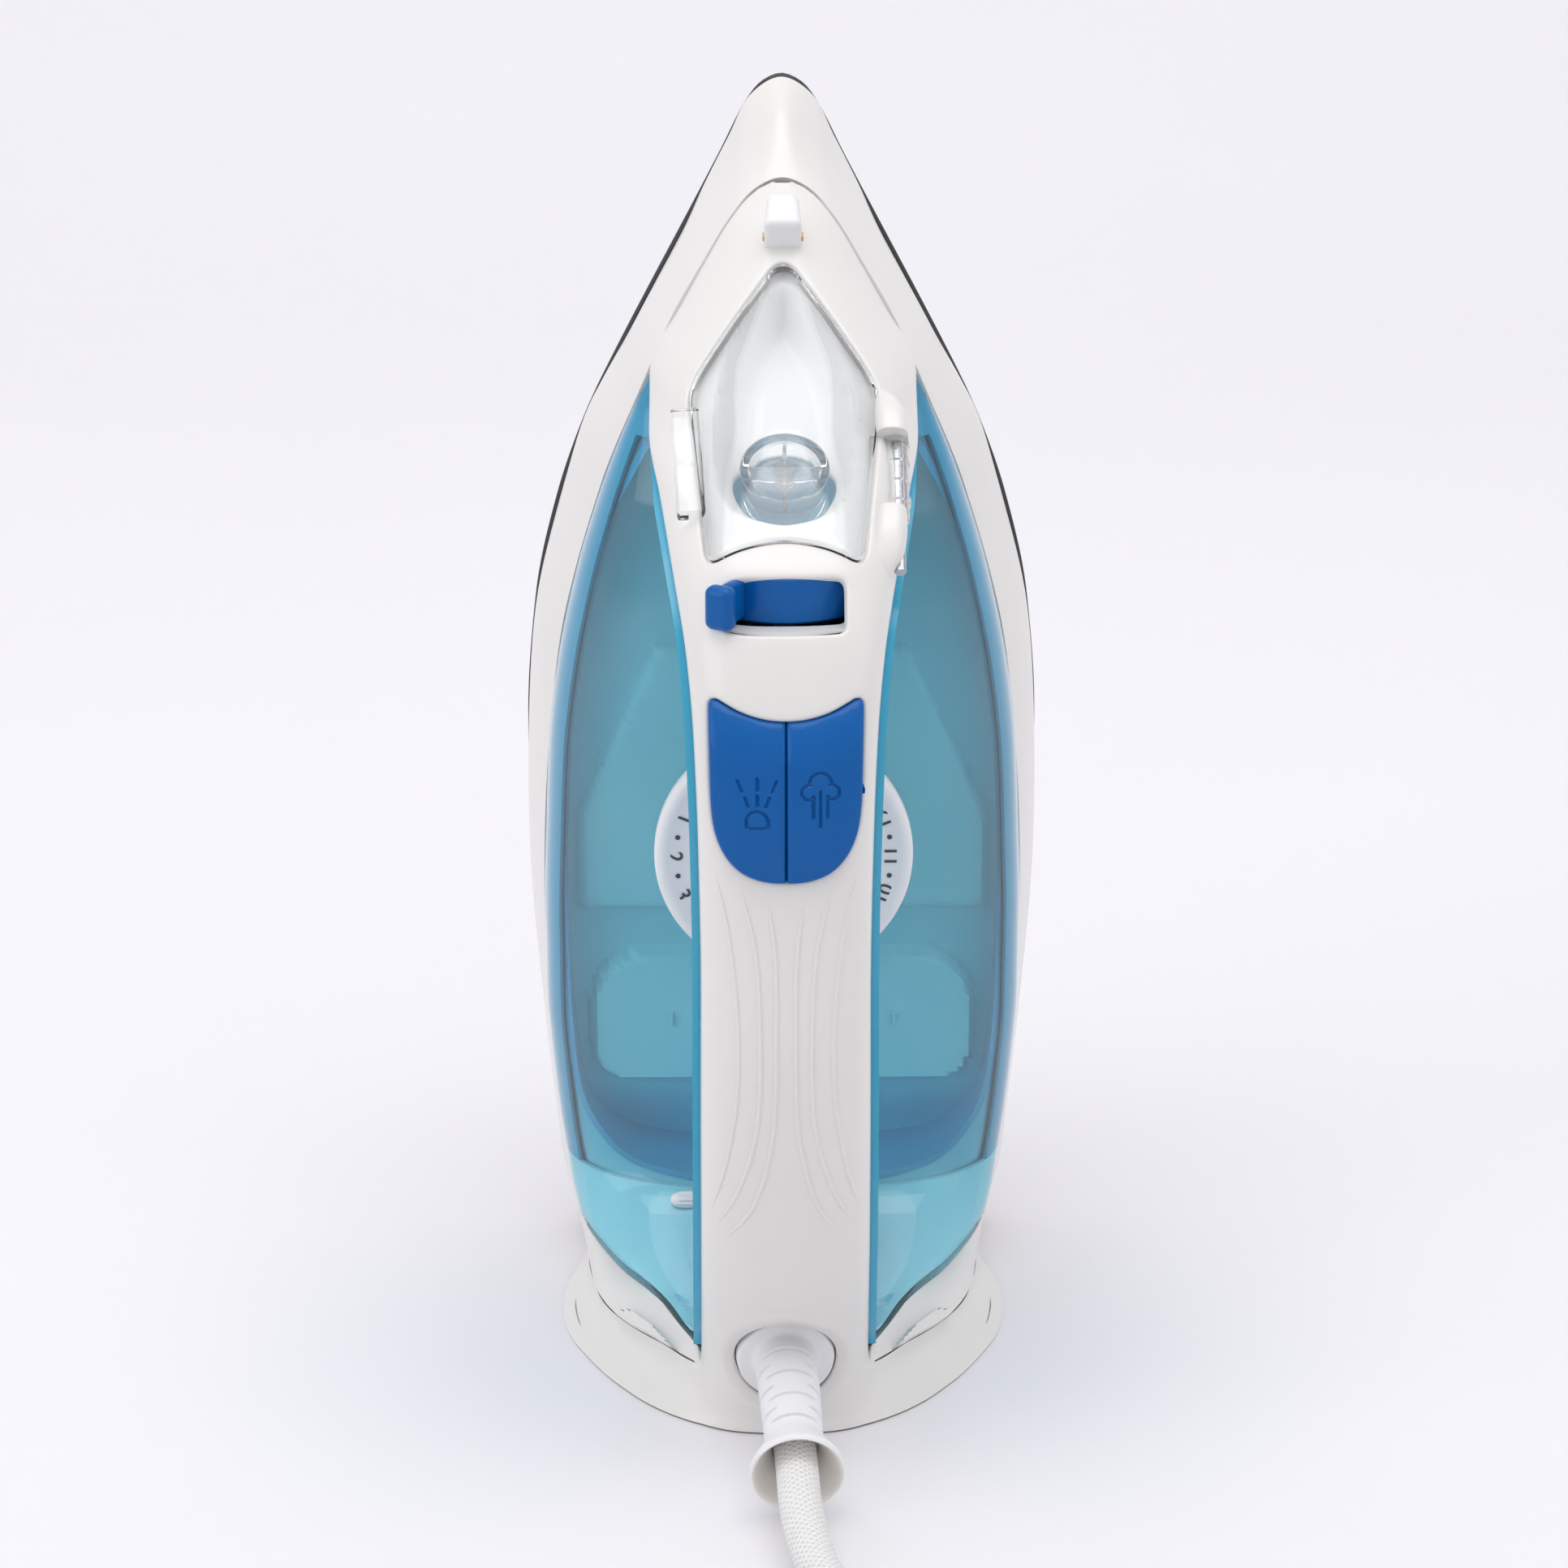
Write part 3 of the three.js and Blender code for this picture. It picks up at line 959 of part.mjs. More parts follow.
function buildCord() {
  const group = new THREE.Group();
  group.applyMatrix4(guardMatrix);
  iron.add(group);
  const bowl = (radius, from, to) =>
    Array.from({ length: 6 }, (_, i) => {
      const s = THREE.MathUtils.lerp(from, to, i / 5);
      return [Math.sqrt(radius ** 2 - s ** 2), s];
    });
  const socket = [[6.4, -10.4], [13.8, -10.4], [13.8, 7], [13, 7.6], [12.6, 7], ...bowl(BALL_RADIUS + 0.4, 3, -8.6)];
  const wireNotch = new THREE.BoxGeometry(17, 13, 4.6).translate(0, -8.5, -9.7);
  piece("cord_socket", SHELL_WHITE, cut(spun(socket, 18), wireNotch), group);

  const ball = bowl(BALL_RADIUS, -7.6, 6.2);
  const guard = [
    ...ball, [7.1, 6.6], [6.9, 8], [6.2, 30], [6.4, 33], [7.6, 38], [9, GUARD_LENGTH - 0.6],
    [9, GUARD_LENGTH], [8, GUARD_LENGTH], [6.4, 39], [4.7, 35.6], [4.7, 34],
  ];
  const guardSolid = spun([[0, -7.6], ...guard, [0, 34]], 16);
  piece("cord_guard", TRIM_WHITE, guardSolid, group);

  const exit = [along(34.4), along(GUARD_LENGTH), along(54)];
  const outward = [[1.4, -107, 8], [4.6, -119, 5.6], [11, -131, 4.6], [20, -143, 4.5], [30.6, -155.6, 4.5], [43, -163, 4.5]];
  const ring = (grow) =>
    spun([
      [COIL.inner - grow, 0.1 - grow], [COIL.outer + grow, 0.1 - grow],
      [COIL.outer + grow, COIL.height + grow], [COIL.inner - grow, COIL.height + grow],
    ], 32).translate(0, COIL.y, 0);
  const route = tubeThrough([...exit, ...outward], CORD_RADIUS, { sides: 8, steps: 22 });
  piece("cord", BRAID, mainBody(cut(route, ring(0.3))));
  piece("cord_coil", BRAID, ring(0));

  const tailRoute = [
    [54, -211, 12.8], [50.4, -229, 12.9], [43.6, -246, 13.6], [34, -260, 15], [23.6, -270.6, 16.8],
    [14, PLUG.y, PLUG.radius], [PLUG.x + 0.4, PLUG.y, PLUG.radius],
  ];
  const tail = tubeThrough(tailRoute, CORD_RADIUS, { sides: 8, steps: 14 });
  piece("cord_tail", BRAID, mainBody(cut(tail, ring(0.3))));

  const plug = new THREE.Group();
  plug.position.set(PLUG.x, PLUG.y, PLUG.radius);
  plug.rotation.y = -Math.PI / 2;
  iron.add(plug);
  const body = spun([
    [0, 0], [6, 0], [7, 8], [8.4, 14], [13, 20], [17, 26], [PLUG.radius, 31], [PLUG.radius, PLUG.length],
    [0, PLUG.length],
  ], 20);
  piece("plug_body", PLUG_WHITE, body, plug);
  [["plug_pin_left", -9.5], ["plug_pin_right", 9.5]].forEach(([name, y]) => {
    const from = PLUG.length + 0.3;
    const pin = spun([[0, from], [2.4, from], [2.4, from + 17.4], [1.4, from + 19], [0, from + 19]], 14);
    piece(name, STEEL, pin.translate(0, y, 0), plug);
  });
}

buildSole();
buildSkirt();
buildTank();
buildHandle();
buildFiller();
buildSelector();
buildButtons();
buildDial();
buildHoses();
buildWiring();
buildCord();

export default iron;
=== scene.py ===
"""The looks of a steam iron that stands on its heel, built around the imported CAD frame.

Shapes are worked out in millimetres: x across the iron, z from heel to tip, and h, the distance
from the sole's face. Each piece goes to Blender in metres, in the CAD's own frame.
"""

import json
import math

import bmesh
import bpy
import numpy as np
from mathutils import Matrix, Vector
from mathutils.geometry import delaunay_2d_cdt

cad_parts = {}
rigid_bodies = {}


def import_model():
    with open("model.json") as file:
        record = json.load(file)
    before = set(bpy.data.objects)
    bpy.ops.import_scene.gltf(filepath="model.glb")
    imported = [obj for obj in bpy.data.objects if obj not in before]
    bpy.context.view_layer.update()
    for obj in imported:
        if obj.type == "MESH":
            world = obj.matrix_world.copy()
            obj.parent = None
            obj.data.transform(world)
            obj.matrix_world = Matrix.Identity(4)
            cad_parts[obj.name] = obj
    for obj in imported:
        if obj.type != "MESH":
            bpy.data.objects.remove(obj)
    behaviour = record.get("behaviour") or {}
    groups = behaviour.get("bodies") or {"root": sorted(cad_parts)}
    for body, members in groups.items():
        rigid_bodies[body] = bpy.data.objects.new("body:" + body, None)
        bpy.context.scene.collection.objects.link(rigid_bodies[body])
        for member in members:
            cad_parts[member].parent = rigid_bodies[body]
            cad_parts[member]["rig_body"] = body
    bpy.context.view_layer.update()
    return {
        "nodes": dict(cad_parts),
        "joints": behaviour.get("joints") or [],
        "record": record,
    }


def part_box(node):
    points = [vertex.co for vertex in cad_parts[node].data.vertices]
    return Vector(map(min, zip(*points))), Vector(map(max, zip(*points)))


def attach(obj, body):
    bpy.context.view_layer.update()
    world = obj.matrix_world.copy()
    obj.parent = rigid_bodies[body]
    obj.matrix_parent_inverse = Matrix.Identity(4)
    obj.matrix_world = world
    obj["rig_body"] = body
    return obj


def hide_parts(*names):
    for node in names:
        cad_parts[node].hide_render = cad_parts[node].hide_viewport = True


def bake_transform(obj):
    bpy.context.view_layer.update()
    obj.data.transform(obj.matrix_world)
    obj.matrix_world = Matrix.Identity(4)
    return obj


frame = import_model()
MM = 0.001

SOLE_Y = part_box("soleplate")[1].y / MM  # the sole's face, where h is 0
TIP_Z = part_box("soleplate")[1].z / MM
WALL = 2.3  # moulded shells
LINER_WALL = 2.4  # the handle's blue lower half
LINER_PROUD = 1.8  # how far it stands out from the crown's sides
INNER_BEVEL = 0.3  # at the back of a wall's edges
ON_AXIS = 0.01  # an outline that starts closer to its axis than this starts on it


def joint_place(name):
    """A joint's own point, in millimetres."""
    return Vector(next(j for j in frame["joints"] if j["name"] == name)["pos_m"]) / MM


# ---- Curves and surfaces ----


def profile(points):
    """A smooth function through (input, output) points, which never overshoots them."""
    xs, ys = np.array(points, float).T
    rise = np.diff(ys) / np.diff(xs)
    slopes = np.concatenate([rise[:1], rise[:-1] * 0, rise[-1:]])
    before, after = rise[:-1], rise[1:]
    same = before * after > 0
    slopes[1:-1][same] = 2 * (before * after)[same] / (before + after)[same]

    def at(value):
        x = np.clip(np.asarray(value, float), xs[0], xs[-1])
        i = np.clip(np.searchsorted(xs, x, side="right") - 1, 0, len(xs) - 2)
        width = xs[i + 1] - xs[i]
        t = (x - xs[i]) / width
        ends = (2 * t**3 - 3 * t**2 + 1) * ys[i] + (3 * t**2 - 2 * t**3) * ys[i + 1]
        return ends + width * ((t**3 - 2 * t**2 + t) * slopes[i] + (t**3 - t**2) * slopes[i + 1])

    return at


def smoothstep(value, low, high):
    t = np.clip((np.asarray(value, float) - low) / (high - low), 0, 1)
    return t * t * (3 - 2 * t)


def place(x, z, h):
    """Points in the row frame, in millimetres."""
    return np.stack(np.broadcast_arrays(x, SOLE_Y - np.asarray(h, float), z), -1).astype(float)


def spline(points, steps, closed=False):
    """A smooth curve with the same number of steps between each two of its points."""
    p = np.array(points, float)
    if closed:
        p = np.vstack([p[-1:], p, p[:2]])
    else:
        p = np.vstack([2 * p[0] - p[1], p, 2 * p[-1] - p[-2]])
    t = np.linspace(0, 1, steps, endpoint=False)[:, None]
    runs = []
    for a, b, c, d in zip(p[:-3], p[1:-2], p[2:-1], p[3:]):
        runs.append(0.5 * (2 * b + (c - a) * t + (2 * a - 5 * b + 4 * c - d) * t**2
                           + (3 * b - a - 3 * c + d) * t**3))
    return np.vstack([*runs, p[-2:-1]])


def through(points, spacing, closed=False):
    """Evenly spaced points on a smooth curve through given points."""
    line = evenly(spline(points, 24, closed), spacing)
    return line[:-1] if closed else line


def evenly(points, spacing):
    """The same line with points a given distance apart."""
    lengths = np.concatenate([[0], np.cumsum(np.linalg.norm(np.diff(points, axis=0), axis=1))])
    count = max(int(round(lengths[-1] / spacing)), 2)
    wanted = np.linspace(0, lengths[-1], count + 1)
    return np.stack([np.interp(wanted, lengths, axis) for axis in points.T], -1)


def rounded_loop(points, radius, spacing=0.8):
    """A closed outline with rounded corners. radius is one number or one for each corner."""
    p = np.array(points, float)
    radii = np.broadcast_to(radius, len(p))
    dense = []
    for i, corner in enumerate(p):
        into, out = p[i - 1] - corner, p[(i + 1) % len(p)] - corner
        reach = [min(radii[i], 0.49 * np.linalg.norm(v)) for v in (into, out)]
        a = corner + into / np.linalg.norm(into) * reach[0]
        b = corner + out / np.linalg.norm(out) * reach[1]
        t = np.linspace(0, 1, 10)[:, None]
        dense.append((1 - t) ** 2 * a + 2 * t * (1 - t) * corner + t * t * b)
    dense = np.vstack([*dense, dense[0][:1]])
    return evenly(dense, spacing)[:-1]


def mirrored(right):
    """Both halves of an outline whose points run down the right side."""
    return [*right, *[(-x, y) for x, y in reversed(right) if x > 0]]


def outward_sides(loop, middle):
    """The direction square to a closed 2-D outline at each of its points, away from its middle."""
    tangent = np.roll(loop, -1, 0) - np.roll(loop, 1, 0)
    side = np.stack([tangent[:, 1], -tangent[:, 0]], -1)
    side /= np.maximum(np.linalg.norm(side, axis=1, keepdims=True), 1e-6)
    return side * np.sign((side * (loop - middle)).sum())


def circle(x, y, radius, count):
    """Points round a circle."""
    turn = np.linspace(0, 2 * math.pi, count, endpoint=False)
    return np.stack([x + radius * np.cos(turn), y + radius * np.sin(turn)], -1)


def signed_power(value, power):
    return np.sign(value) * np.abs(value) ** power


def inside(points, loop):
    """Which 2-D points lie inside a closed outline."""
    x, y = points[:, :1], points[:, 1:]
    (x0, y0), (x1, y1) = loop.T, np.roll(loop, -1, 0).T
    crosses = (y0 > y) != (y1 > y)
    with np.errstate(divide="ignore", invalid="ignore"):
        where = x0 + (y - y0) * (x1 - x0) / (y1 - y0)
    return (crosses & (x < where)).sum(1) % 2 == 1


def near(points, loop, distance):
    """Which 2-D points lie within a distance of an outline's own points."""
    gaps = points[:, None] - loop[None]
    return (gaps**2).sum(-1).min(1) < distance**2


# ---- Pieces ----


def add_piece(name, shape, slot, body="housing", replaces=(), crease=32, look=None):
    """One named mesh, its (vertices, faces) in millimetres, on its CAD body.

    It wears the material of its slot, or look if that is given. crease is in degrees.
    """
    vertices, faces = shape
    mesh = bpy.data.meshes.new(name)
    mesh.from_pydata((np.asarray(vertices, float) * MM).tolist(), [], [list(map(int, f)) for f in faces])
    clean = bmesh.new()
    clean.from_mesh(mesh)
    bmesh.ops.recalc_face_normals(clean, faces=clean.faces)
    clean.to_mesh(mesh)
    clean.free()
    mesh.polygons.foreach_set("use_smooth", [True] * len(mesh.polygons))
    mesh.set_sharp_from_angle(angle=math.radians(crease))
    mesh.materials.append(look or MATERIALS[slot])
    piece = bpy.data.objects.new(name, mesh)
    bpy.context.scene.collection.objects.link(piece)
    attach(piece, body)
    if replaces:
        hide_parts(*replaces)
    return piece


def merge(*parts):
    """Several (vertices, faces) as one."""
    vertices, faces, start = [], [], 0
    for some, theirs in parts:
        vertices.append(np.asarray(some, float))
        faces += [[i + start for i in face] for face in theirs]
        start += len(some)
    return np.vstack(vertices), faces


def grid_faces(rows, columns, start=0, around=False):
    """Quads between neighbouring rows of a grid of points."""
    faces = []
    for r in range(rows - 1):
        for c in range(columns if around else columns - 1):
            a, b = start + r * columns + c, start + r * columns + (c + 1) % columns
            faces.append((a, b, b + columns, a + columns))
    return faces


def grid_normals(grid):
    """The normal at each point of a grid of points."""
    along = np.gradient(grid, axis=0)
    across = np.gradient(grid, axis=1)
    normals = np.cross(along, across)
    return normals / np.maximum(np.linalg.norm(normals, axis=-1, keepdims=True), 1e-9)


def thick_grid(outer, inner):
    """A wall between two matching grids of points, closed along its border."""
    rows, columns = outer.shape[:2]
    back = rows * columns
    faces = grid_faces(rows, columns)
    faces += [tuple(reversed(face)) for face in grid_faces(rows, columns, back)]
    border = [*range(columns), *[r * columns + columns - 1 for r in range(1, rows)]]
    border += [(rows - 1) * columns + c for c in range(columns - 2, -1, -1)]
    border += [r * columns for r in range(rows - 2, 0, -1)]
    for p, q in zip(border, border[1:] + border[:1]):
        faces.append((q, p, back + p, back + q))
    return np.vstack([outer.reshape(-1, 3), inner.reshape(-1, 3)]), faces


def rings_body(rings):
    """A closed body through matching rings of points."""
    rings = np.asarray(rings, float)
    count, sides = rings.shape[:2]
    faces = grid_faces(count, sides, around=True)
    faces.append(tuple(range(sides)))
    faces.append(tuple((count - 1) * sides + i for i in reversed(range(sides))))
    return rings.reshape(-1, 3), faces


def rings_closed(rings):
    """A tube of rings that closes on itself."""
    rings = np.array(rings)
    count, sides = rings.shape[:2]
    faces = grid_faces(count + 1, sides, around=True)
    return rings.reshape(-1, 3), [tuple(i % (count * sides) for i in face) for face in faces]


def lathe(points, sides=64, matrix=None, swell=None):
    """A closed body of revolution about z: points are (radius, height) down its outline.

    swell(angle, height) is added to each radius.
    """
    angles = np.linspace(0, 2 * math.pi, sides, endpoint=False)
    rings = []
    for radius, height in points:
        r = radius + (0 if swell is None or radius <= ON_AXIS else swell(angles, height))
        rings.append(np.stack([r * np.cos(angles), r * np.sin(angles), np.full(sides, height)], -1))
    if points[0][0] > ON_AXIS:
        shape = welded(*rings_closed(rings))
    else:
        shape = welded(np.vstack(rings), grid_faces(len(rings), sides, around=True))
    return shape if matrix is None else moved(shape, matrix)


def welded(vertices, faces):
    """The same shape with points that coincide made one, and faces without area left out."""
    keys, first, index = {}, [], []
    for v in np.round(np.asarray(vertices, float), 5):
        key = tuple(v + 0.0)
        if key not in keys:
            keys[key] = len(first)
            first.append(v)
        index.append(keys[key])
    kept = []
    for face in faces:
        ids = [index[i] for i in face]
        ids = [v for i, v in enumerate(ids) if v != ids[i - 1]]
        if len(set(ids)) > 2:
            kept.append(tuple(ids))
    return np.array(first), kept


def moved(shape, matrix):
    vertices, faces = shape
    m = np.array(matrix, float)
    return np.asarray(vertices) @ m[:3, :3].T + m[:3, 3], faces


def tube(line, radius, sides=16):
    """A round tube along a line. radius is one number or one for each point."""
    line = np.asarray(line, float)
    radii = np.broadcast_to(radius, len(line))
    tangents = np.gradient(line, axis=0)
    tangents /= np.linalg.norm(tangents, axis=1, keepdims=True)
    side = np.cross(tangents[0], [0, 0, 1.0])
    if np.linalg.norm(side) < 0.1:
        side = np.cross(tangents[0], [1.0, 0, 0])
    rings = []
    angles = np.linspace(0, 2 * math.pi, sides, endpoint=False)
    for point, tangent, r in zip(line, tangents, radii):
        side = side - tangent * side.dot(tangent)
        side /= np.linalg.norm(side)
        other = np.cross(tangent, side)
        rings.append(point + r * (np.cos(angles)[:, None] * side + np.sin(angles)[:, None] * other))
    return rings_body(rings)


def soft_box(size, radius, matrix=None, segments=4):
    """A block with rounded edges, centred on its own origin."""
    shape = bmesh.new()
    bmesh.ops.create_cube(shape, size=1)
    bmesh.ops.scale(shape, vec=Vector(size), verts=shape.verts)
    bmesh.ops.bevel(shape, geom=shape.edges[:], offset=radius, segments=segments, profile=0.5,
                    affect="EDGES", clamp_overlap=True)
    shape.verts.index_update()
    made = np.array([v.co for v in shape.verts]), [tuple(v.index for v in f.verts) for f in shape.faces]
    shape.free()
    return made if matrix is None else moved(made, matrix)


def thick_skin(point, flat, border, holes=(), thickness=WALL, step=1.5, rounding=0.8, into=None,
               soft_border=True, fine=None, facing_point=None):
    """A shell over part of a surface, with rounded edges at its border and round its holes.

    point maps 2-D places to the surface, and flat maps surface points back. border and the
    holes are closed outlines of 2-D places. into is the direction of their walls, or None for
    square to the surface. fine(places) says which extra places of a finer grid to keep.
    """
    def normals_at(places):
        e = 0.05
        du = point(places + [e, 0]) - point(places - [e, 0])
        dv = point(places + [0, e]) - point(places - [0, e])
        normal = np.cross(du, dv)
        return normal / np.maximum(np.linalg.norm(normal, axis=1, keepdims=True), 1e-9)

    middle = border.mean(0) if facing_point is None else np.array(facing_point, float)
    out = [0, -1, 0.6] if into is None else [-c for c in into]
    facing = np.sign(normals_at(middle[None])[0].dot(out)) or 1.0
    loops, outlines = [], []
    for number, outline in enumerate([border, *holes]):
        soft = soft_border or number > 0
        edge = point(outline)
        if not soft:
            loops.append((outline, None))
            outlines.append(outline)
            continue
        normal = facing * normals_at(outline)
        side = np.cross(np.roll(edge, -1, 0) - np.roll(edge, 1, 0), normal)
        side /= np.linalg.norm(side, axis=1, keepdims=True)
        outward = np.sign((side * (edge - edge.mean(0))).sum())
        side *= -outward if number == 0 else outward
        down = -normal if into is None else np.broadcast_to(np.asarray(into, float), normal.shape)
        rings = []
        for k in range(1, 5):
            angle = math.pi / 2 * k / 4
            rings.append(edge + rounding * ((1 - math.sin(angle)) * side + (1 - math.cos(angle)) * down))
        rings.append(edge + down * (thickness - INNER_BEVEL))
        rings.append(edge + down * thickness + side * INNER_BEVEL)
        start = flat(edge + rounding * side)
        loops.append((start, rings))
        outlines.append(start)

    low, high = outlines[0].min(0), outlines[0].max(0)

    def lattice(spacing):
        u = np.arange(low[0] + spacing / 2, high[0], spacing)
        v = np.arange(low[1] + spacing / 2, high[1], spacing)
        return np.stack(np.meshgrid(u, v), -1).reshape(-1, 2)

    def within(points):
        kept = inside(points, outlines[0])
        for outline in outlines[1:]:
            kept &= ~inside(points, outline)
        return kept

    places = lattice(step)
    if fine is not None:
        dense = lattice(step / 3)
        places = np.vstack([places[~fine(places)], dense[fine(dense)]])
    places = places[within(places)]
    for outline in outlines:
        places = places[~near(places, outline, 0.5 * min(step, 1.2))]
    everything, edges = [places], []
    start = len(places)
    for outline in outlines:
        ids = np.arange(len(outline)) + start
        edges += [(int(a), int(b)) for a, b in zip(ids, np.roll(ids, -1))]
        everything.append(outline)
        start += len(outline)
    everything = np.vstack(everything)
    found, _, faces, origins, _, _ = delaunay_2d_cdt(
        [Vector(p) for p in everything], edges, [], 0, 1e-5)
    found = np.array([tuple(p) for p in found])
    faces = np.array(faces)
    faces = faces[within(found[faces].mean(1))]
    where = {source: i for i, sources in enumerate(origins) for source in sources}
    surface = point(found)
    normal = facing * normals_at(found)
    vertices = [surface, surface - thickness * normal]
    count = len(found)
    made = [tuple(f) for f in faces] + [tuple(reversed(f + count)) for f in faces]
    total = 2 * count
    start = len(places)
    for outline, rings in loops:
        size = len(outline)
        top = [where[start + i] for i in range(size)]
        bottom = [i + count for i in top]
        start += size
        chain = [top]
        for ring in rings or []:
            vertices.append(ring)
            chain.append(list(range(total, total + size)))
            total += size
        chain.append(bottom)
        for a, b in zip(chain, chain[1:]):
            for i in range(size):
                j = (i + 1) % size
                made.append((a[i], a[j], b[j], b[i]))
    vertices = np.vstack(vertices)
    used = np.unique([i for f in made for i in f])
    renumber = np.full(len(vertices), -1)
    renumber[used] = np.arange(len(used))
    return vertices[used], [tuple(renumber[list(f)]) for f in made]


def plane_surface(height):
    """point and flat for a surface that is a height h over each (x, z)."""
    def point(p):
        return place(p[:, 0], p[:, 1], height(p[:, 0], p[:, 1]))

    return point, lambda q: q[:, [0, 2]]


# ---- Materials ----


def srgb(red, green, blue):
    """A colour given as on a screen, 0 to 255, in the renderer's own values."""
    def linear(value):
        c = value / 255
        return c / 12.92 if c <= 0.04045 else ((c + 0.055) / 1.055) ** 2.4

    return (linear(red), linear(green), linear(blue), 1)


class Nodes:
    """A material's node tree, with its Principled shader."""

    def __init__(self, name):
        self.material = bpy.data.materials.new(name)
        self.material.use_nodes = True
        self.tree = self.material.node_tree
        self.shader = self.tree.nodes["Principled BSDF"]
        self.output = self.tree.nodes["Material Output"]
        self.place = self.add("ShaderNodeTexCoord").outputs["Object"]

    def add(self, kind, **settings):
        node = self.tree.nodes.new(kind)
        for key, value in settings.items():
            setattr(node, key, value)
        return node

    def link(self, source, target):
        self.tree.links.new(source, target)

    def set(self, **values):
        for key, value in values.items():
            self.shader.inputs[key.replace("_", " ")].default_value = value

    def noise(self, scale, detail=4, stretch=(1, 1, 1), roughness=0.5):
        mapping = self.add("ShaderNodeMapping")
        mapping.inputs["Scale"].default_value = stretch
        self.link(self.place, mapping.inputs["Vector"])
        noise = self.add("ShaderNodeTexNoise")
        noise.inputs["Scale"].default_value = scale
        noise.inputs["Detail"].default_value = detail
        noise.inputs["Roughness"].default_value = roughness
        self.link(mapping.outputs["Vector"], noise.inputs["Vector"])
        return noise.outputs["Fac"]

    def spread(self, source, low, high, from_low=0.3, from_high=0.7):
        node = self.add("ShaderNodeMapRange")
        for key, value in zip(("From Min", "From Max", "To Min", "To Max"),
                              (from_low, from_high, low, high)):
            node.inputs[key].default_value = value
        self.link(source, node.inputs["Value"])
        return node.outputs["Result"]

    def colours(self, source, *stops):
        ramp = self.add("ShaderNodeValToRGB").color_ramp
        while len(ramp.elements) < len(stops):
            ramp.elements.new(0.5)
        for element, (position, colour) in zip(ramp.elements, stops):
            element.position, element.color = position, colour
        node = self.tree.nodes[-1]
        self.link(source, node.inputs["Fac"])
        return node.outputs["Color"]

    def sum(self, a, b, share=1.0):
        node = self.add("ShaderNodeMath", operation="MULTIPLY_ADD")
        self.link(b, node.inputs[0])
        node.inputs[1].default_value = share
        self.link(a, node.inputs[2])
        return node.outputs[0]

    def bump(self, height, distance, strength=1.0):
        node = self.add("ShaderNodeBump")
        node.inputs["Distance"].default_value = distance
        node.inputs["Strength"].default_value = strength
        self.link(height, node.inputs["Height"])
        self.link(node.outputs["Normal"], self.shader.inputs["Normal"])


def darker(colour, by):
    return (*[c * by for c in colour[:3]], 1)


def moulded(name, colour, rough=0.32, grain=0.6, spots=0.985, coat=0.0, gloss=0.5):
    """Moulded plastic: a slight drift of tone, a fine grain and uneven gloss."""
    n = Nodes(name)
    drift = n.noise(9, 2)
    n.link(n.colours(drift, (0.3, darker(colour, spots)), (0.7, colour)), n.shader.inputs["Base Color"])
    n.link(n.spread(n.noise(60, 3), rough - 0.02, rough + 0.03), n.shader.inputs["Roughness"])
    n.set(Specular_IOR_Level=gloss, Coat_Weight=coat, Coat_Roughness=0.12)
    n.bump(n.noise(2600, 3), 0.000012 * grain, 0.5)
    return n.material


def metal(name, colour, rough=0.3, stretch=(1, 1, 1), scratch=0.5, tint=0.86):
    """Metal with brushing along one direction, worn a little darker in patches."""
    n = Nodes(name)
    lines = n.noise(420, 8, stretch, 0.7)
    tone = n.colours(n.noise(30, 5), (0.3, darker(colour, tint)), (0.7, colour))
    n.link(tone, n.shader.inputs["Base Color"])
    n.link(n.spread(lines, rough - 0.08, rough + 0.14), n.shader.inputs["Roughness"])
    n.set(Metallic=1.0)
    n.bump(lines, 0.00003 * scratch, 0.5)
    return n.material


def see_through(name, colour, lamp, rough, clear, ior, coat, deep=None):
    """Transparent plastic. lamp is the light it lets through, deep the darker tone it drifts to in patches.
    """
    n = Nodes(name)
    tone = n.colours(n.noise(26, 4), (0.3, deep or darker(colour, 0.93)), (0.7, colour))
    n.link(tone, n.shader.inputs["Base Color"])
    n.link(n.spread(n.noise(120, 5), rough * 0.6, rough * 1.6), n.shader.inputs["Roughness"])
    n.set(Transmission_Weight=clear, IOR=ior, Coat_Weight=coat, Coat_Roughness=0.04)
    n.bump(n.noise(90, 3), 0.00001, 0.3)
    through_lamp = n.add("ShaderNodeBsdfTransparent")
    through_lamp.inputs["Color"].default_value = lamp
    mix = n.add("ShaderNodeMixShader")
    n.link(n.add("ShaderNodeLightPath").outputs["Is Shadow Ray"], mix.inputs["Fac"])
    n.link(n.shader.outputs["BSDF"], mix.inputs[1])
    n.link(through_lamp.outputs["BSDF"], mix.inputs[2])
    n.link(mix.outputs["Shader"], n.output.inputs["Surface"])
    return n.material


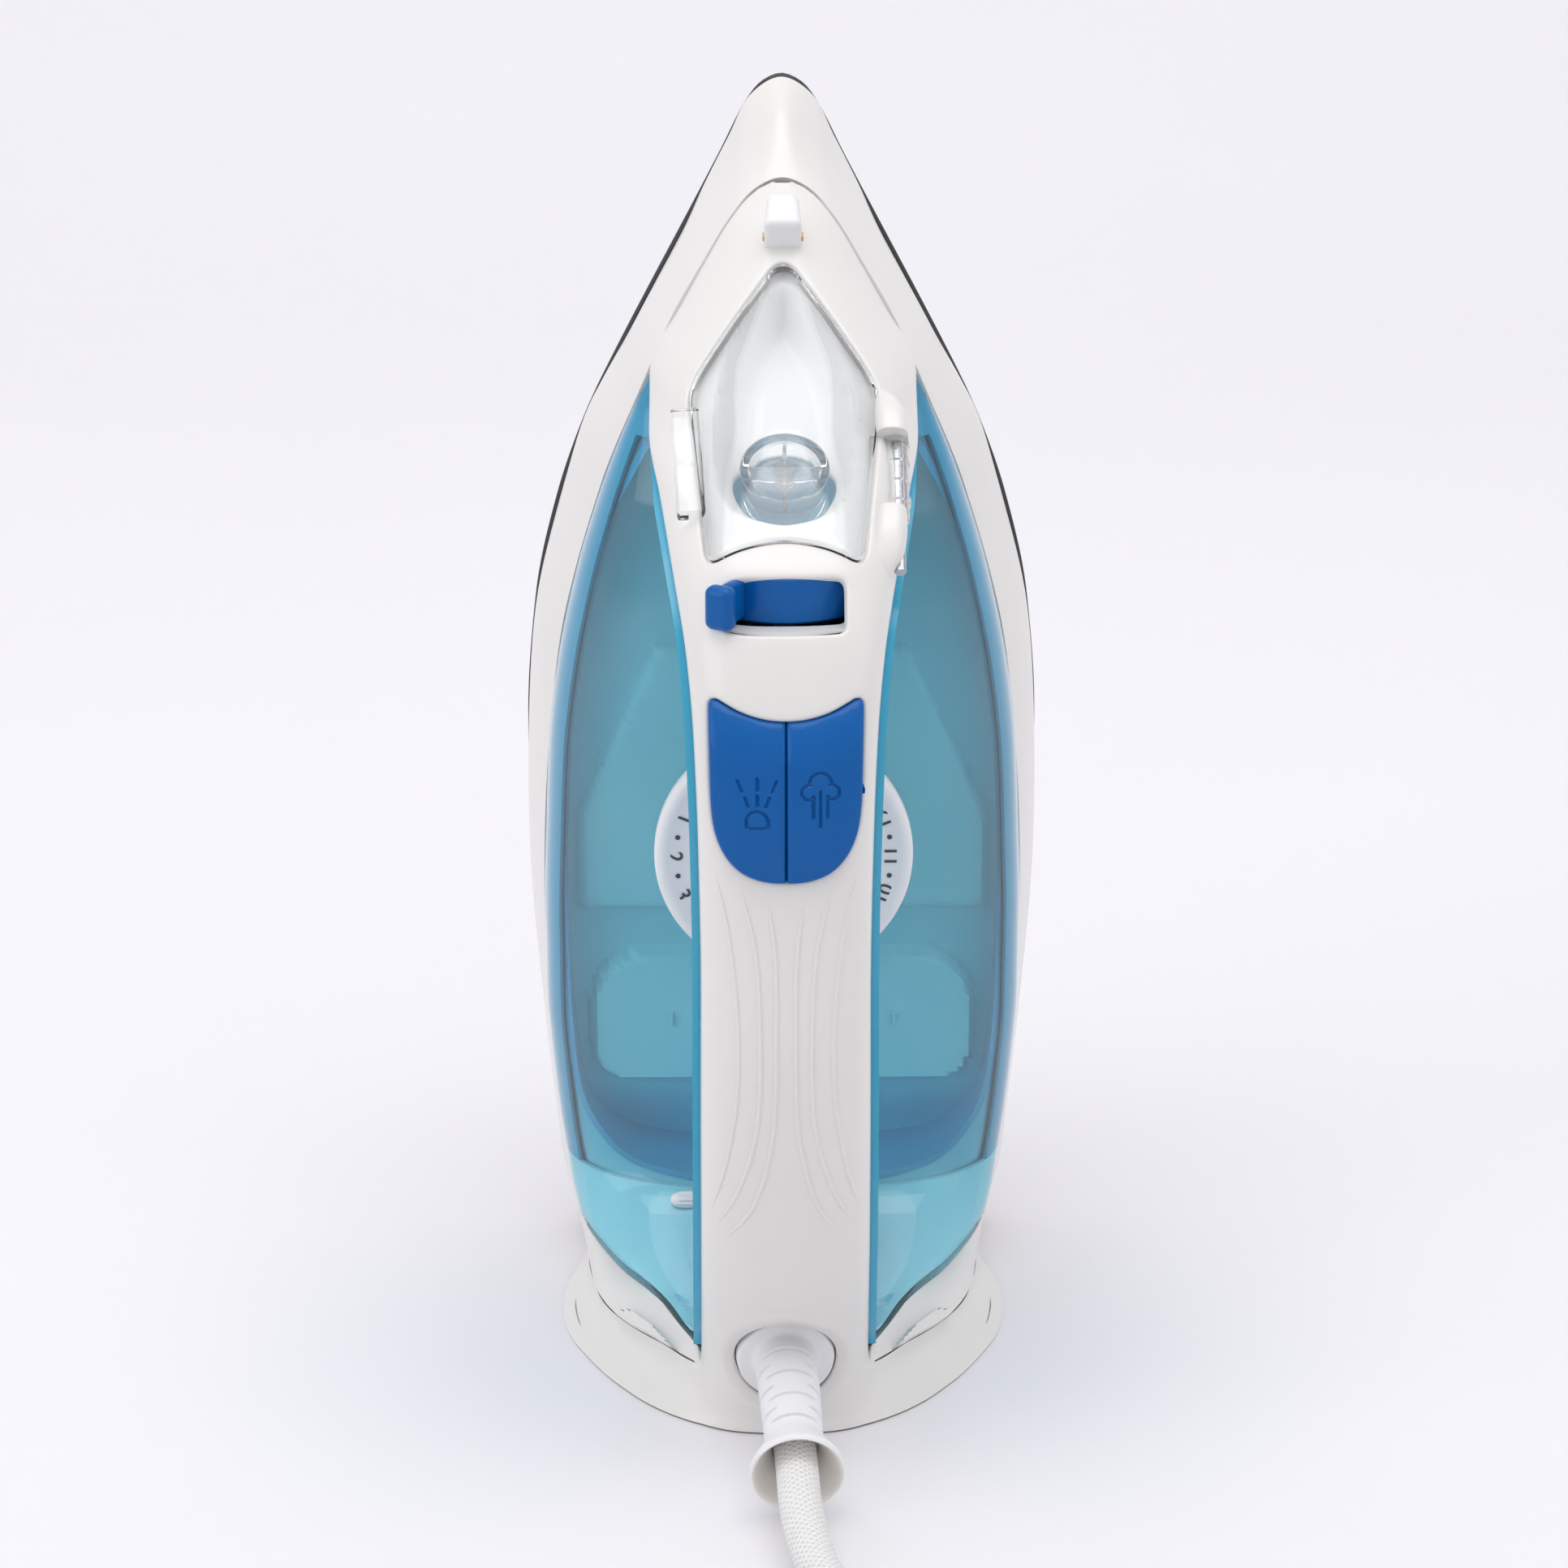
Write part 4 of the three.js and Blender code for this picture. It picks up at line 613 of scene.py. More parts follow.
def braided(name, colour):
    """Two families of threads that cross over a round cord, from its own u and v."""
    n = Nodes(name)
    uv = n.add("ShaderNodeUVMap").outputs["UV"]
    apart = n.add("ShaderNodeSeparateXYZ")
    n.link(uv, apart.inputs[0])

    def threads(sign):
        slant = n.add("ShaderNodeMath", operation="MULTIPLY_ADD")
        n.link(apart.outputs["Y"], slant.inputs[0])
        slant.inputs[1].default_value = sign
        n.link(apart.outputs["X"], slant.inputs[2])
        wave = n.add("ShaderNodeMath", operation="SINE")
        turns = n.add("ShaderNodeMath", operation="MULTIPLY")
        n.link(slant.outputs[0], turns.inputs[0])
        turns.inputs[1].default_value = 2 * math.pi
        n.link(turns.outputs[0], wave.inputs[0])
        return wave.outputs[0]

    over = n.add("ShaderNodeMath", operation="MAXIMUM")
    n.link(threads(1.0), over.inputs[0])
    n.link(threads(-1.0), over.inputs[1])
    height = n.sum(over.outputs[0], n.noise(2400, 5), 0.9)
    # Low places of the weave are painted darker: painted shade in the grooves between the threads.
    n.link(n.colours(n.spread(height, 0, 1, -0.6, 1.4), (0.0, darker(colour, 0.8)),
                     (0.45, darker(colour, 0.96)), (1.0, colour)), n.shader.inputs["Base Color"])
    n.link(n.spread(n.noise(700, 4), 0.72, 0.95), n.shader.inputs["Roughness"])
    n.set(Sheen_Weight=0.35, Sheen_Roughness=0.4)
    n.bump(height, 0.0002, 0.9)
    return n.material


def deepening(name, *stops):
    """Plastic whose colour changes along the iron's length. Each stop is (z in metres, colour)."""
    n = Nodes(name)
    apart = n.add("ShaderNodeSeparateXYZ")
    n.link(n.place, apart.inputs[0])
    low, high = stops[0][0], stops[-1][0]
    share = n.spread(apart.outputs["Z"], 0, 1, low, high)
    tone = n.colours(share, *[((z - low) / (high - low), colour) for z, colour in stops])
    n.link(tone, n.shader.inputs["Base Color"])
    n.link(n.spread(n.noise(60, 3), 0.36, 0.44), n.shader.inputs["Roughness"])
    n.bump(n.noise(900, 3), 0.00001, 0.4)
    return n.material


MATERIALS = {
    "shell_white": moulded("shell_white", srgb(229, 227, 224), rough=0.3, coat=0.2),
    "trim_white": moulded("trim_white", srgb(234, 234, 236), rough=0.36),
    "tank_blue": see_through("tank_blue", srgb(200, 236, 244), rough=0.04, clear=0.94, ior=1.12, coat=0.8,
                             lamp=(0.9, 0.97, 0.99, 1), deep=srgb(190, 229, 239)),
    "button_blue": moulded("button_blue", srgb(0, 90, 164), rough=0.3, coat=0.12, spots=0.96, gloss=0.2),
    "clear_plastic": see_through("clear_plastic", srgb(250, 251, 252), rough=0.02, clear=1.0, ior=1.3,
                                 coat=0.7, lamp=(0.97, 0.98, 0.98, 1)),
    "heel_grey": moulded("heel_grey", srgb(139, 143, 148), rough=0.55, grain=2, spots=0.93),
    "sole_steel": metal("sole_steel", srgb(176, 178, 180), rough=0.24, stretch=(18, 18, 0.6)),
    "cast_aluminium": metal("cast_aluminium", srgb(190, 192, 196), rough=0.46, scratch=2),
    "steel": metal("steel", srgb(200, 202, 205), rough=0.28, stretch=(1, 1, 6)),
    "brass": metal("brass", srgb(214, 172, 92), rough=0.28, stretch=(6, 6, 1)),
    "ceramic": moulded("ceramic", srgb(228, 221, 207), rough=0.68, grain=3, spots=0.93),
    "rubber": moulded("rubber", srgb(160, 163, 167), rough=0.75, grain=1.5, spots=0.93),
    "braid": braided("braid", srgb(244, 243, 241)),
    "plug_white": moulded("plug_white", srgb(234, 233, 231), rough=0.4),
    "wire_brown": moulded("wire_brown", srgb(110, 70, 40), rough=0.45),
    "wire_blue": moulded("wire_blue", srgb(44, 98, 170), rough=0.45),
    "wire_green": moulded("wire_green", srgb(94, 155, 60), rough=0.45),
}
SOLE_EDGE = metal("sole_edge", srgb(84, 84, 85), rough=0.42, stretch=(10, 10, 1))
TANK_INSIDE = deepening("tank_inside", (0.034, srgb(40, 190, 228)), (0.052, srgb(84, 200, 222)),
                        (0.066, srgb(138, 214, 226)), (0.2, srgb(142, 214, 226)))
# Painted light: the tops of the raised pads on the tank's floor are painted lighter than the floor around
# them.
TANK_RAISED_PAINTED_LIGHT = moulded("tank_raised_painted_light", srgb(158, 224, 232), rough=0.4)
TANK_BACKING = deepening("tank_backing", (0.02, srgb(172, 218, 228)), (0.034, srgb(156, 214, 226)),
                         (0.05, srgb(84, 186, 212)), (0.2, srgb(74, 178, 206)))
TANK_BAND = moulded("tank_band", srgb(12, 152, 190), rough=0.35)
TANK_RIM = moulded("tank_rim", srgb(0, 160, 204), rough=0.3, spots=0.95)
LINER_BLUE = moulded("liner_blue", srgb(52, 168, 204), rough=0.25, coat=0.3)
WELL_WHITE = moulded("well_white", srgb(230, 230, 229), rough=0.4)
# Painted light: the bell's hollow is a warmer, slightly lighter white than its outside, standing in for
# light falling into it.
BELL_HOLLOW_PAINTED_LIGHT = moulded("bell_hollow_painted_light", srgb(240, 236, 230), rough=0.5)
HEEL_RING_DARK = moulded("heel_ring_dark", srgb(104, 104, 100), rough=0.7)
INK_GREY = moulded("ink_grey", srgb(70, 75, 75), rough=0.45, grain=0.2, spots=0.8)


def finish_cad_nodes():
    """Gives every CAD node the procedural material of its own slot."""
    for row in frame["record"]["subparts"]:
        node = frame["nodes"][row["node"]]
        node.data.materials.clear()
        node.data.materials.append(MATERIALS[row["material_slot"]])


# ---- Stage and camera ----


def build_stage():
    """A pale floor that turns up into a backdrop, soft lamps and the camera."""
    paper = Nodes("paper")
    pale = srgb(237, 236, 239)
    paper.link(paper.colours(paper.noise(3, 2), (0.3, darker(pale, 0.985)), (0.7, pale)),
               paper.shader.inputs["Base Color"])
    paper.set(Roughness=0.85)
    bend, reach = 0.9, 5.0  # metres
    turn = [(bend + bend * math.sin(a), bend - bend * math.cos(a))
            for a in np.linspace(0.1, math.pi / 2, 14)]
    profile_yz = [(-4.0, 0), (bend, 0), *turn, (2 * bend, reach)]
    vertices = [(x, y, z) for y, z in profile_yz for x in (-reach, reach)]
    mesh = bpy.data.meshes.new("floor")
    mesh.from_pydata(vertices, [], grid_faces(len(profile_yz), 2))
    mesh.polygons.foreach_set("use_smooth", [True] * len(mesh.polygons))
    mesh.materials.append(paper.material)
    floor = bpy.data.objects.new("floor", mesh)
    bpy.context.scene.collection.objects.link(floor)

    world = bpy.data.worlds.new("studio")
    world.use_nodes = True
    sky = world.node_tree.nodes["Background"].inputs
    sky["Color"].default_value = srgb(248, 247, 250)
    sky["Strength"].default_value = 0.72
    bpy.context.scene.world = world
    bpy.context.scene.view_settings.view_transform = "Standard"

    def lamp(name, where, target, size, power):
        data = bpy.data.lights.new(name, "AREA")
        data.shape, data.size, data.size_y, data.energy = "RECTANGLE", *size, power
        light = bpy.data.objects.new(name, data)
        light.location = where
        light.rotation_euler = (Vector(target) - Vector(where)).to_track_quat("-Z", "Y").to_euler()
        bpy.context.scene.collection.objects.link(light)

    lamp("top_soft", (0, -0.1, 1.9), (0, 0.05, 0.1), (1.8, 1.4), 10.4)
    lamp("left_soft", (-1.5, -0.9, 0.9), (0, 0, 0.14), (1.1, 1.3), 6)
    lamp("right_soft", (1.6, -0.8, 0.8), (0, 0, 0.14), (1.1, 1.3), 2.4)
    lamp("backdrop_soft", (0, -0.2, 2.2), (0, 1.8, 0.9), (2.4, 1.0), 12)

    camera_data = bpy.data.cameras.new("camera")
    camera_data.sensor_width = 36
    camera_data.lens = 99.8
    camera = bpy.data.objects.new("camera", camera_data)
    camera.rotation_euler = (math.radians(70), 0, math.radians(-0.45))
    camera.location = (-0.0072, -0.9261, 0.479)
    bpy.context.scene.collection.objects.link(camera)
    bpy.context.scene.camera = camera


# ---- Cord ----

CORD_RADIUS = 4.7
CORD_TILT = math.radians(11)
GUARD_LENGTH = 44  # the swivel's centre to the open end of the bell
BALL_RADIUS = 11.3
FACE_S = 3.5  # the flat face of the ball, from its centre
GUARD_YAW = math.radians(3.2)
COIL_Y = -197
COIL_RADII = (37.8, 47.3, 56.8)
COIL_LAYERS = (4.75, 14.2)
PIVOT = joint_place("cord_swivel")
GUARD_MATRIX = (Matrix.Translation(PIVOT) @ Matrix.Rotation(GUARD_YAW, 4, "Z")
                @ Matrix.Rotation(math.pi / 2 + CORD_TILT, 4, "X"))


def along_guard(s):
    return tuple(GUARD_MATRIX @ Vector((0, 0, s)))


def coil_turns():
    """The coil's turns: three on the floor from the outside in, then back out on top of them."""
    small, middle, large = COIL_RADII
    radius = profile([(0, large), (310, large), (360, middle), (670, middle), (720, small), (1280, small),
                      (1330, middle), (1640, middle), (1690, large), (1853, large)])
    height = profile([(0, COIL_LAYERS[0]), (980, COIL_LAYERS[0]), (1030, COIL_LAYERS[1]),
                      (1853, COIL_LAYERS[1])])
    start = math.radians(38)
    points = []
    for turned in range(15, 1846, 15):
        angle = start - math.radians(turned)
        r = float(radius(turned))
        points.append((r * math.cos(angle), COIL_Y + r * math.sin(angle), float(height(turned))))
    return points


def cord_route():
    exit_run = [along_guard(s) for s in (34.4, GUARD_LENGTH, 54)]
    outward = [(4.6, -107, 8.2), (7.6, -119, 6.3), (13, -131, 5.3), (21.4, -143, 4.85),
               (31.4, -155, 4.75), (43.4, -163.2, 4.75)]
    tail = [(54.6, -212, 14.2), (50.4, -229, 14.2), (43.6, -246, 13.6), (34, -260, 15),
            (23.6, -270.6, 16.8), (14, -276.5, 17.5), (4.6, -276.5, 17.5)]
    return [*exit_run, *outward, *coil_turns()[1:-1], *tail]


def build_cord(plug_pieces, guard):
    """The braided lead in one piece, from inside the guard's bell to the plug."""
    line = through(cord_route(), 1.0)
    sides = 32
    lift = np.maximum(CORD_RADIUS + 0.05 - line[:, 2], 0)
    line[:, 2] += lift
    vertices, faces = tube(line, CORD_RADIUS, sides)
    cord = add_piece("power_cord", (vertices, faces), "braid",
                     replaces=["cord", "cord_coil", "cord_tail"])
    layer = cord.data.uv_layers.new(name="UVMap")
    threads_round, threads_per_mm = 14, 0.62
    loops = np.empty(len(cord.data.loops), int)
    cord.data.loops.foreach_get("vertex_index", loops)
    row, column = loops // sides, loops % sides
    for polygon in cord.data.polygons:
        ids = list(polygon.loop_indices)
        if len(ids) == 4 and max(column[ids]) == sides - 1 and min(column[ids]) == 0:
            for i in ids:
                column[i] = sides if column[i] == 0 else column[i]
    uv = np.stack([column / sides * threads_round, row * threads_per_mm], -1)
    layer.data.foreach_set("uv", uv.astype(np.float32).ravel())
    length = float(np.linalg.norm(np.diff(line, axis=0), axis=1).sum()) * MM
    cord.parent = None
    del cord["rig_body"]
    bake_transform(cord)


def build_guard():
    """The swivelling strain relief: ball, slotted sleeve and flared bell."""
    pitch, first = 3.75, 8.2

    def slots(angle, s):
        if not 6.5 < s < 32:
            return 0
        row = round((s - first) / pitch)
        depth = 1.1 * math.exp(-(((s - first - row * pitch) / 0.34) ** 4))
        middle = math.pi / 2 if row % 2 == 0 else 0
        reach = np.abs(np.mod(angle - middle + math.pi / 2, math.pi) - math.pi / 2)
        return -depth * (1 - smoothstep(reach, math.radians(46), math.radians(60)))

    ball = [(math.sqrt(BALL_RADIUS**2 - s**2), s) for s in np.linspace(-7.6, FACE_S - 0.25, 18)]
    face = [(10.6, FACE_S - 0.05), (10.35, FACE_S), (8.4, FACE_S), (7.7, FACE_S + 0.15),
            (7.3, FACE_S + 0.6), (7.15, FACE_S + 1.4)]
    sleeve = [(7.12 - 0.022 * (s - 5), s) for s in np.arange(5.0, 32.2, 0.14)]
    bell = [(6.5, 32.4), (6.7, 33.6), (7.2, 35.2), (8.0, 37.0), (9.0, 39.0), (9.9, 40.8), (10.35, 41.8),
            (10.5, 42.6), (10.35, 43.2), (10, 43.5), (9.6, 43.3)]
    hollow = [(9.2, 42.5), (8.3, 40.4), (7.3, 38.6), (6.3, 36.8), (5.6, 35.4), (5.2, 34.4), (5.05, 33),
              (0, 33)]
    shape = lathe([(0, -7.6), *ball, *face, *sleeve, *bell, *hollow], 144, GUARD_MATRIX, slots)
    guard = add_piece("cord_guard_sleeve", shape, "trim_white", body="guard", replaces=["cord_guard"],
                      crease=50)
    # Faces inside the bell's hollow get the painted-light white.
    guard.data.materials.append(BELL_HOLLOW_PAINTED_LIGHT)
    to_axis = GUARD_MATRIX.inverted()
    for polygon in guard.data.polygons:
        centre = to_axis @ (polygon.center / MM)
        away = to_axis.to_3x3().transposed() @ Vector((centre.x, centre.y, 0))
        if centre.z > 32.9 and polygon.normal.dot(away) < 0:
            polygon.material_index = 1
    return guard


def build_socket():
    """The ring in the handle's foot that holds the guard's ball."""
    inner = [(math.sqrt((BALL_RADIUS + 0.3) ** 2 - s**2), s) for s in np.linspace(0.8, -8, 16)]
    rim = [(12.9, -9.5), (13.4, -9), (13.4, 0.2), (12.9, 0.8), *inner, (8, -9.5)]
    add_piece("swivel_ring", lathe(rim, 96, GUARD_MATRIX), "shell_white", replaces=["cord_socket"],
              crease=60)


def build_plug():
    """A round two-pin plug that lies beside the coil."""
    low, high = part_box("plug_body")
    radius = (high.z - low.z) / 2 / MM
    length = (high.x - low.x) / MM
    middle = Vector((high.x / MM, (low.y + high.y) / 2 / MM, radius))
    matrix = Matrix.Translation(middle) @ Matrix.Rotation(-math.pi / 2, 4, "Y")

    def grips(angle, s):
        collar = -0.5 * math.exp(-(((s - 2.4) % 2.2 - 1.1) / 0.5) ** 2) if 2 < s < 13 else 0
        ribs = 0.32 * np.cos(36 * angle) * (1 if 33 < s < length - 3 else 0)
        return collar + ribs

    relief = [(5.9 + 0.11 * s, s) for s in np.arange(0.4, 13, 0.45)]
    shoulder = [(7.5, 13.2), (8.1, 14.6), (9.4, 16.4), (11.4, 18.8), (13.6, 21.4), (15.4, 24), (16.6, 26.8),
                (17.2, 29.8), (17.2, 32.6)]
    grip = [(17.1, s) for s in np.linspace(33.1, length - 3.1, 12)]
    face = [(17.2, length - 2.6), (17.1, length - 1.2), (16.5, length - 0.4), (15.6, length), (12, length),
            (11.4, length - 0.7), (0, length - 0.7)]
    shape = lathe([(0, 0), (5.3, 0), *relief, *shoulder, *grip, *face], 144, matrix, grips)
    body = add_piece("plug_moulding", shape, "plug_white", replaces=["plug_body"], crease=50)
    pins = []
    for side, y in (("left", -9.5), ("right", 9.5)):
        pin = [(0, length - 0.4), (2.95, length - 0.4), (2.95, length + 1), (2.4, length + 1.3),
               (2.4, length + 17.4), (2.2, length + 18.4), (1.5, length + 19.1), (0, length + 19.3)]
        offset = matrix @ Matrix.Translation((0, y, 0))
        pins.append(add_piece(f"plug_pin_{side}_turned", lathe(pin, 32, offset), "steel",
                              replaces=[f"plug_pin_{side}"]))
    return [body, *pins]


# ---- Outer form of the iron ----

sole_width = profile([
    (0, 50.5), (18, 53.6), (45, 57), (75, 60.2), (105, 61.6), (135, 61.4), (165, 59), (190, 53.4),
    (210.5, 46.1), (214, 44.5), (218, 42.6), (273, 13.8), (284, 8.2), (289, 4), (TIP_Z, 0)])
seam_width = profile([
    (14.7, 19.4), (16, 23), (18, 28.5), (19, 35.9), (20, 43.6), (23.5, 50), (34.5, 52.7), (56, 55.3),
    (77.5, 56.7), (98, 56.7), (119, 56), (140, 54.9), (160, 52.3), (180.5, 47.9), (201.3, 41.8),
    (211.8, 38.1), (222.5, 33.8), (232.5, 29.9)])
seam_h = profile([
    (14.7, 102.6), (16, 97), (18, 84), (19, 65), (20, 45), (23.5, 32), (34.5, 30), (56, 30), (119, 30),
    (140, 30), (160, 31), (180.5, 33), (201.3, 37), (211.8, 40), (222.5, 44), (232.5, 50)])
tank_top = profile([
    (14.7, 103), (39, 61), (60, 64), (80, 65.6), (150, 65.6), (200, 62), (232.5, 51)])
crown_width = profile([
    (0, 19.4), (14, 19.2), (40, 18.9), (90, 18.6), (120, 18.4), (150, 18.8), (174, 19.7), (190, 21.2),
    (204, 24.1), (216, 27.3), (224, 29.8), (232.5, 29.9), (238.3, 27.9), (243.9, 24.3), (254.3, 18),
    (264.5, 11.4), (269.8, 6), (272, 1)])
crown_edge = profile([
    (0, 102), (14, 103), (25, 110), (40, 118), (60, 126), (90, 130), (120, 131), (150, 131), (174, 128),
    (190, 122), (204, 108), (216, 88), (232.5, 50), (238.3, 48), (243.9, 46), (254.3, 42), (264.5, 38),
    (269.8, 34), (272, 32)])
crown_top = profile([
    (0, 116.6), (20, 121), (45, 133), (80, 142), (112, 145), (145, 144.4), (172, 141.6), (190, 137),
    (207, 128.5), (216, 118), (259, 57), (272, 33.5)])
crown_power = profile([(0, 2.6), (190, 2.8), (215, 2.2), (238, 2), (258, 1.5), (272, 1.35)])
ridge_half = profile([(205, 5.4), (240, 4.4), (262, 2.9), (272, 2.3)])  # the flat along the ridge


def crown_arch(x, z):
    share = np.minimum(np.abs(x) / crown_width(z), 1)
    power = crown_power(z)
    low = crown_edge(z)
    return low + (crown_top(z) - low) * (1 - share**power) ** (1 / power)


def crown_h(x, z):
    """h of the white handle and spine, with the flat ridge towards the nose."""
    z = np.asarray(z, float)
    half = np.minimum(ridge_half(z), 0.6 * crown_width(z))
    flat = smoothstep(z, 214, 228)
    held = np.maximum(np.abs(x), half * flat)
    return crown_arch(held, z)


ARCH = 66.0  # length given to the arch across the crown in its own 2-D map


def crown_point(p):
    z = np.clip(p[:, 1], 0.6, 271.8)
    cosine = np.cos(math.pi * np.clip(p[:, 0], 0.02, ARCH - 0.02) / ARCH)
    x = crown_width(z) * signed_power(cosine, 2 / crown_power(z))
    return place(x, z, crown_h(x, z))


def crown_flat(q):
    x, z = q[:, 0], q[:, 2]
    share = np.clip(np.abs(x) / crown_width(z), 0, 1)
    cosine = np.sign(x) * share ** (crown_power(z) / 2)
    return np.stack([ARCH * np.arccos(cosine) / math.pi, z], -1)


def on_crown(x, z):
    """2-D map places of points given by x and z."""
    x, z = np.asarray(x, float), np.asarray(z, float)
    return crown_flat(np.stack([x, 0 * x, z], -1))


# The spine's own frame: u up the ridge and n out of it.
LID_ORIGIN = Vector((0, SOLE_Y - 88.2, 237))
LID_TURN = math.atan(43 / 61)
LID_MATRIX = Matrix.Translation(LID_ORIGIN) @ Matrix.Rotation(LID_TURN, 4, "X")
HINGE = LID_MATRIX.inverted() @ joint_place("lid_hinge")
LID_OUTLINE = [
    (0, 38.6), (2.4, 36.6), (12, 22), (19.6, 9.4), (21, 4.6), (20.7, -2), (17, -41),
    (15.8, -43.8), (9, -41.2), (0, -39.8)]
LID_ROUNDING = [2.4, 2.6, 4, 5, 3, 5, 1.6, 2, 4, 4, 4, 2, 1.6, 5, 3, 5, 4, 2.6]
LID_HOLE_U = -18
NOZZLE_U = 48


def lid_outline(grow):
    """The lid's outline in the spine's frame, grown outwards."""
    loop = rounded_loop(mirrored(LID_OUTLINE), LID_ROUNDING, 0.9)
    return loop + grow * outward_sides(loop, loop.mean(0))


def on_spine(x, u, n=0):
    """A matrix that puts a shape's origin at a place in the spine's frame."""
    return LID_MATRIX @ Matrix.Translation((x, u, n))


def from_spine(x, u, n):
    """Row-frame points of places in the spine's frame."""
    local = np.stack(np.broadcast_arrays(x, u, n), -1).astype(float)
    m = np.array(LID_MATRIX)
    return local @ m[:3, :3].T + m[:3, 3]


def spine_height(x, u, surface=crown_h):
    """n at which a line square to the ridge meets the crown."""
    low, high = np.full(len(x), -40.0), np.full(len(x), 12.0)
    for _ in range(30):
        n = (low + high) / 2
        q = from_spine(x, u, n)
        above = SOLE_Y - q[:, 1] > surface(q[:, 0], q[:, 2])
        high = np.where(above, n, high)
        low = np.where(above, low, n)
    return (low + high) / 2


def spine_loop_on_crown(loop):
    n = spine_height(loop[:, 0], loop[:, 1])
    q = from_spine(loop[:, 0], loop[:, 1], n)
    return on_crown(q[:, 0], q[:, 2])


# ---- Handle ----

BUTTON_Z = (145.8, 185.6)
BUTTON_OUTLINE = [
    (0, 179.4), (8, 180.6), (15.3, 183.9), (16.4, 183), (16, 160), (14.2, 153.4), (10.6, 148.6),
    (5.6, 146.3), (0, 145.8)]
BUTTON_ROUNDING = [4, 5, 1.2, 1.2, 8, 5, 5, 5, 5, 5, 5, 5, 8, 1.2, 1.2, 5]
WINDOW = {"x": (-13.6, 13.0), "z": (197.1, 207.8)}
SOCKET = {"z": 20.2, "radius": 11.6}
GRIP_LINES = [
    [(3.7, 141.4), (2.3, 128), (2.1, 113), (2.7, 87), (6.8, 68.5), (13.8, 57.5)],
    [(9.6, 144.4), (6.6, 130), (5.6, 113), (6.0, 90), (9.5, 74), (15.2, 61)],
    [(15.0, 147), (12, 132), (10.3, 113), (10.5, 95), (12.8, 79), (16.3, 65)],
]


def button_loop(grow):
    """The outline of both buttons together, grown outwards."""
    loop = rounded_loop(mirrored(BUTTON_OUTLINE), BUTTON_ROUNDING, 0.7)
    return loop + grow * outward_sides(loop, [0, sum(BUTTON_Z) / 2])


FOOT_TOP = 37  # the foot's shape goes up to here, and the crown goes on from it
FOOT_SCALE = 50  # millimetres of the foot's 2-D map for each radian
HEEL_OUTLINE = [
    (0, 117), (6, 116.9), (12.5, 116.2), (19.6, 113.6), (25.6, 109.7), (32.5, 103.2), (39.1, 94.3),
    (46.1, 81.8), (51.4, 69), (53.2, 60), (53.6, 52), (53, 42), (50, 29), (44, 17), (34, 11.4),
    (20, 10), (0, 10)]
HEEL_MIDDLE = 60
SOCKET_H = 117  # a first guess of the foot's h at the guard
FLANGE_SEAM = [
    (0, 11.9, 112), (12, 11.9, 110.5), (19.6, 11.85, 106), (29, 11.45, 94), (38, 9.75, 79.5),
    (44.5, 8.05, 61), (47.2, 7.05, 40), (46.6, 6.85, 20), (44, 6.8, 14), (34, 6.8, 11.8), (0, 6.8, 11.6)]


def polar(x, h):
    """Angle from straight out, and radius, about the heel's middle."""
    out = np.asarray(h, float) - HEEL_MIDDLE
    return np.arctan2(x, out), np.hypot(x, out)


def foot_functions():
    """The foot's radius at the floor and at its seam, and the seam's z, by angle."""
    angle, radius = polar(*np.array(HEEL_OUTLINE, float).T)
    base = profile(list(zip(angle, radius)))
    x, z, h = np.array(FLANGE_SEAM, float).T
    angle, radius = polar(x, h)
    return base, profile(list(zip(angle, radius))), profile(list(zip(angle, z)))


heel_radius, seam_radius, seam_z = foot_functions()


def foot_radius(angle, z):
    """Radius of the handle's foot: the column blended into the flange that the iron stands on."""
    angle = np.abs(angle)
    low, high = np.full(angle.shape, 3.0), np.full(angle.shape, 80.0)
    for _ in range(26):
        r = (low + high) / 2
        x, h = r * np.sin(angle), HEEL_MIDDLE + r * np.cos(angle)
        solid = (x < crown_width(z)) & (h < crown_arch(x, z)) & (angle < math.pi / 2)
        low, high = np.where(solid, r, low), np.where(solid, high, r)
    column = low
    top = seam_z(angle)
    t = np.clip((top - z) / (top - 0.5), 0, 1)
    flange = seam_radius(angle) + (heel_radius(angle) - seam_radius(angle)) * t**2.3
    flange = flange - 3 * np.maximum(z - top, 0) - 0.5 * (1 - np.clip((z - 0.5) / 0.9, 0, 1)) ** 2
    soft = 5.0  # how far from their meeting the two shapes blend
    fillet = soft / 4 * np.maximum(1 - np.abs(column - flange) / soft, 0) ** 2
    return np.maximum(column, flange) + fillet


def foot_point(p):
    angle, z = p[:, 0] / FOOT_SCALE, p[:, 1]
    r = foot_radius(angle, z)
    q = place(r * np.sin(angle), z, HEEL_MIDDLE + r * np.cos(angle))
    away = np.hypot(q[:, 0], q[:, 2] - SOCKET["z"])
    front = np.abs(angle) < 0.6
    ridge = 0.55 * np.exp(-(((away - 14.6) / 1.5) ** 2)) - 1.0 * (1 - smoothstep(away, 11, 14.4))
    q[:, 1] -= ridge * front
    return q


def foot_flat(q):
    return np.stack([np.arctan2(q[:, 0], SOLE_Y - q[:, 1] - HEEL_MIDDLE) * FOOT_SCALE, q[:, 2]], -1)


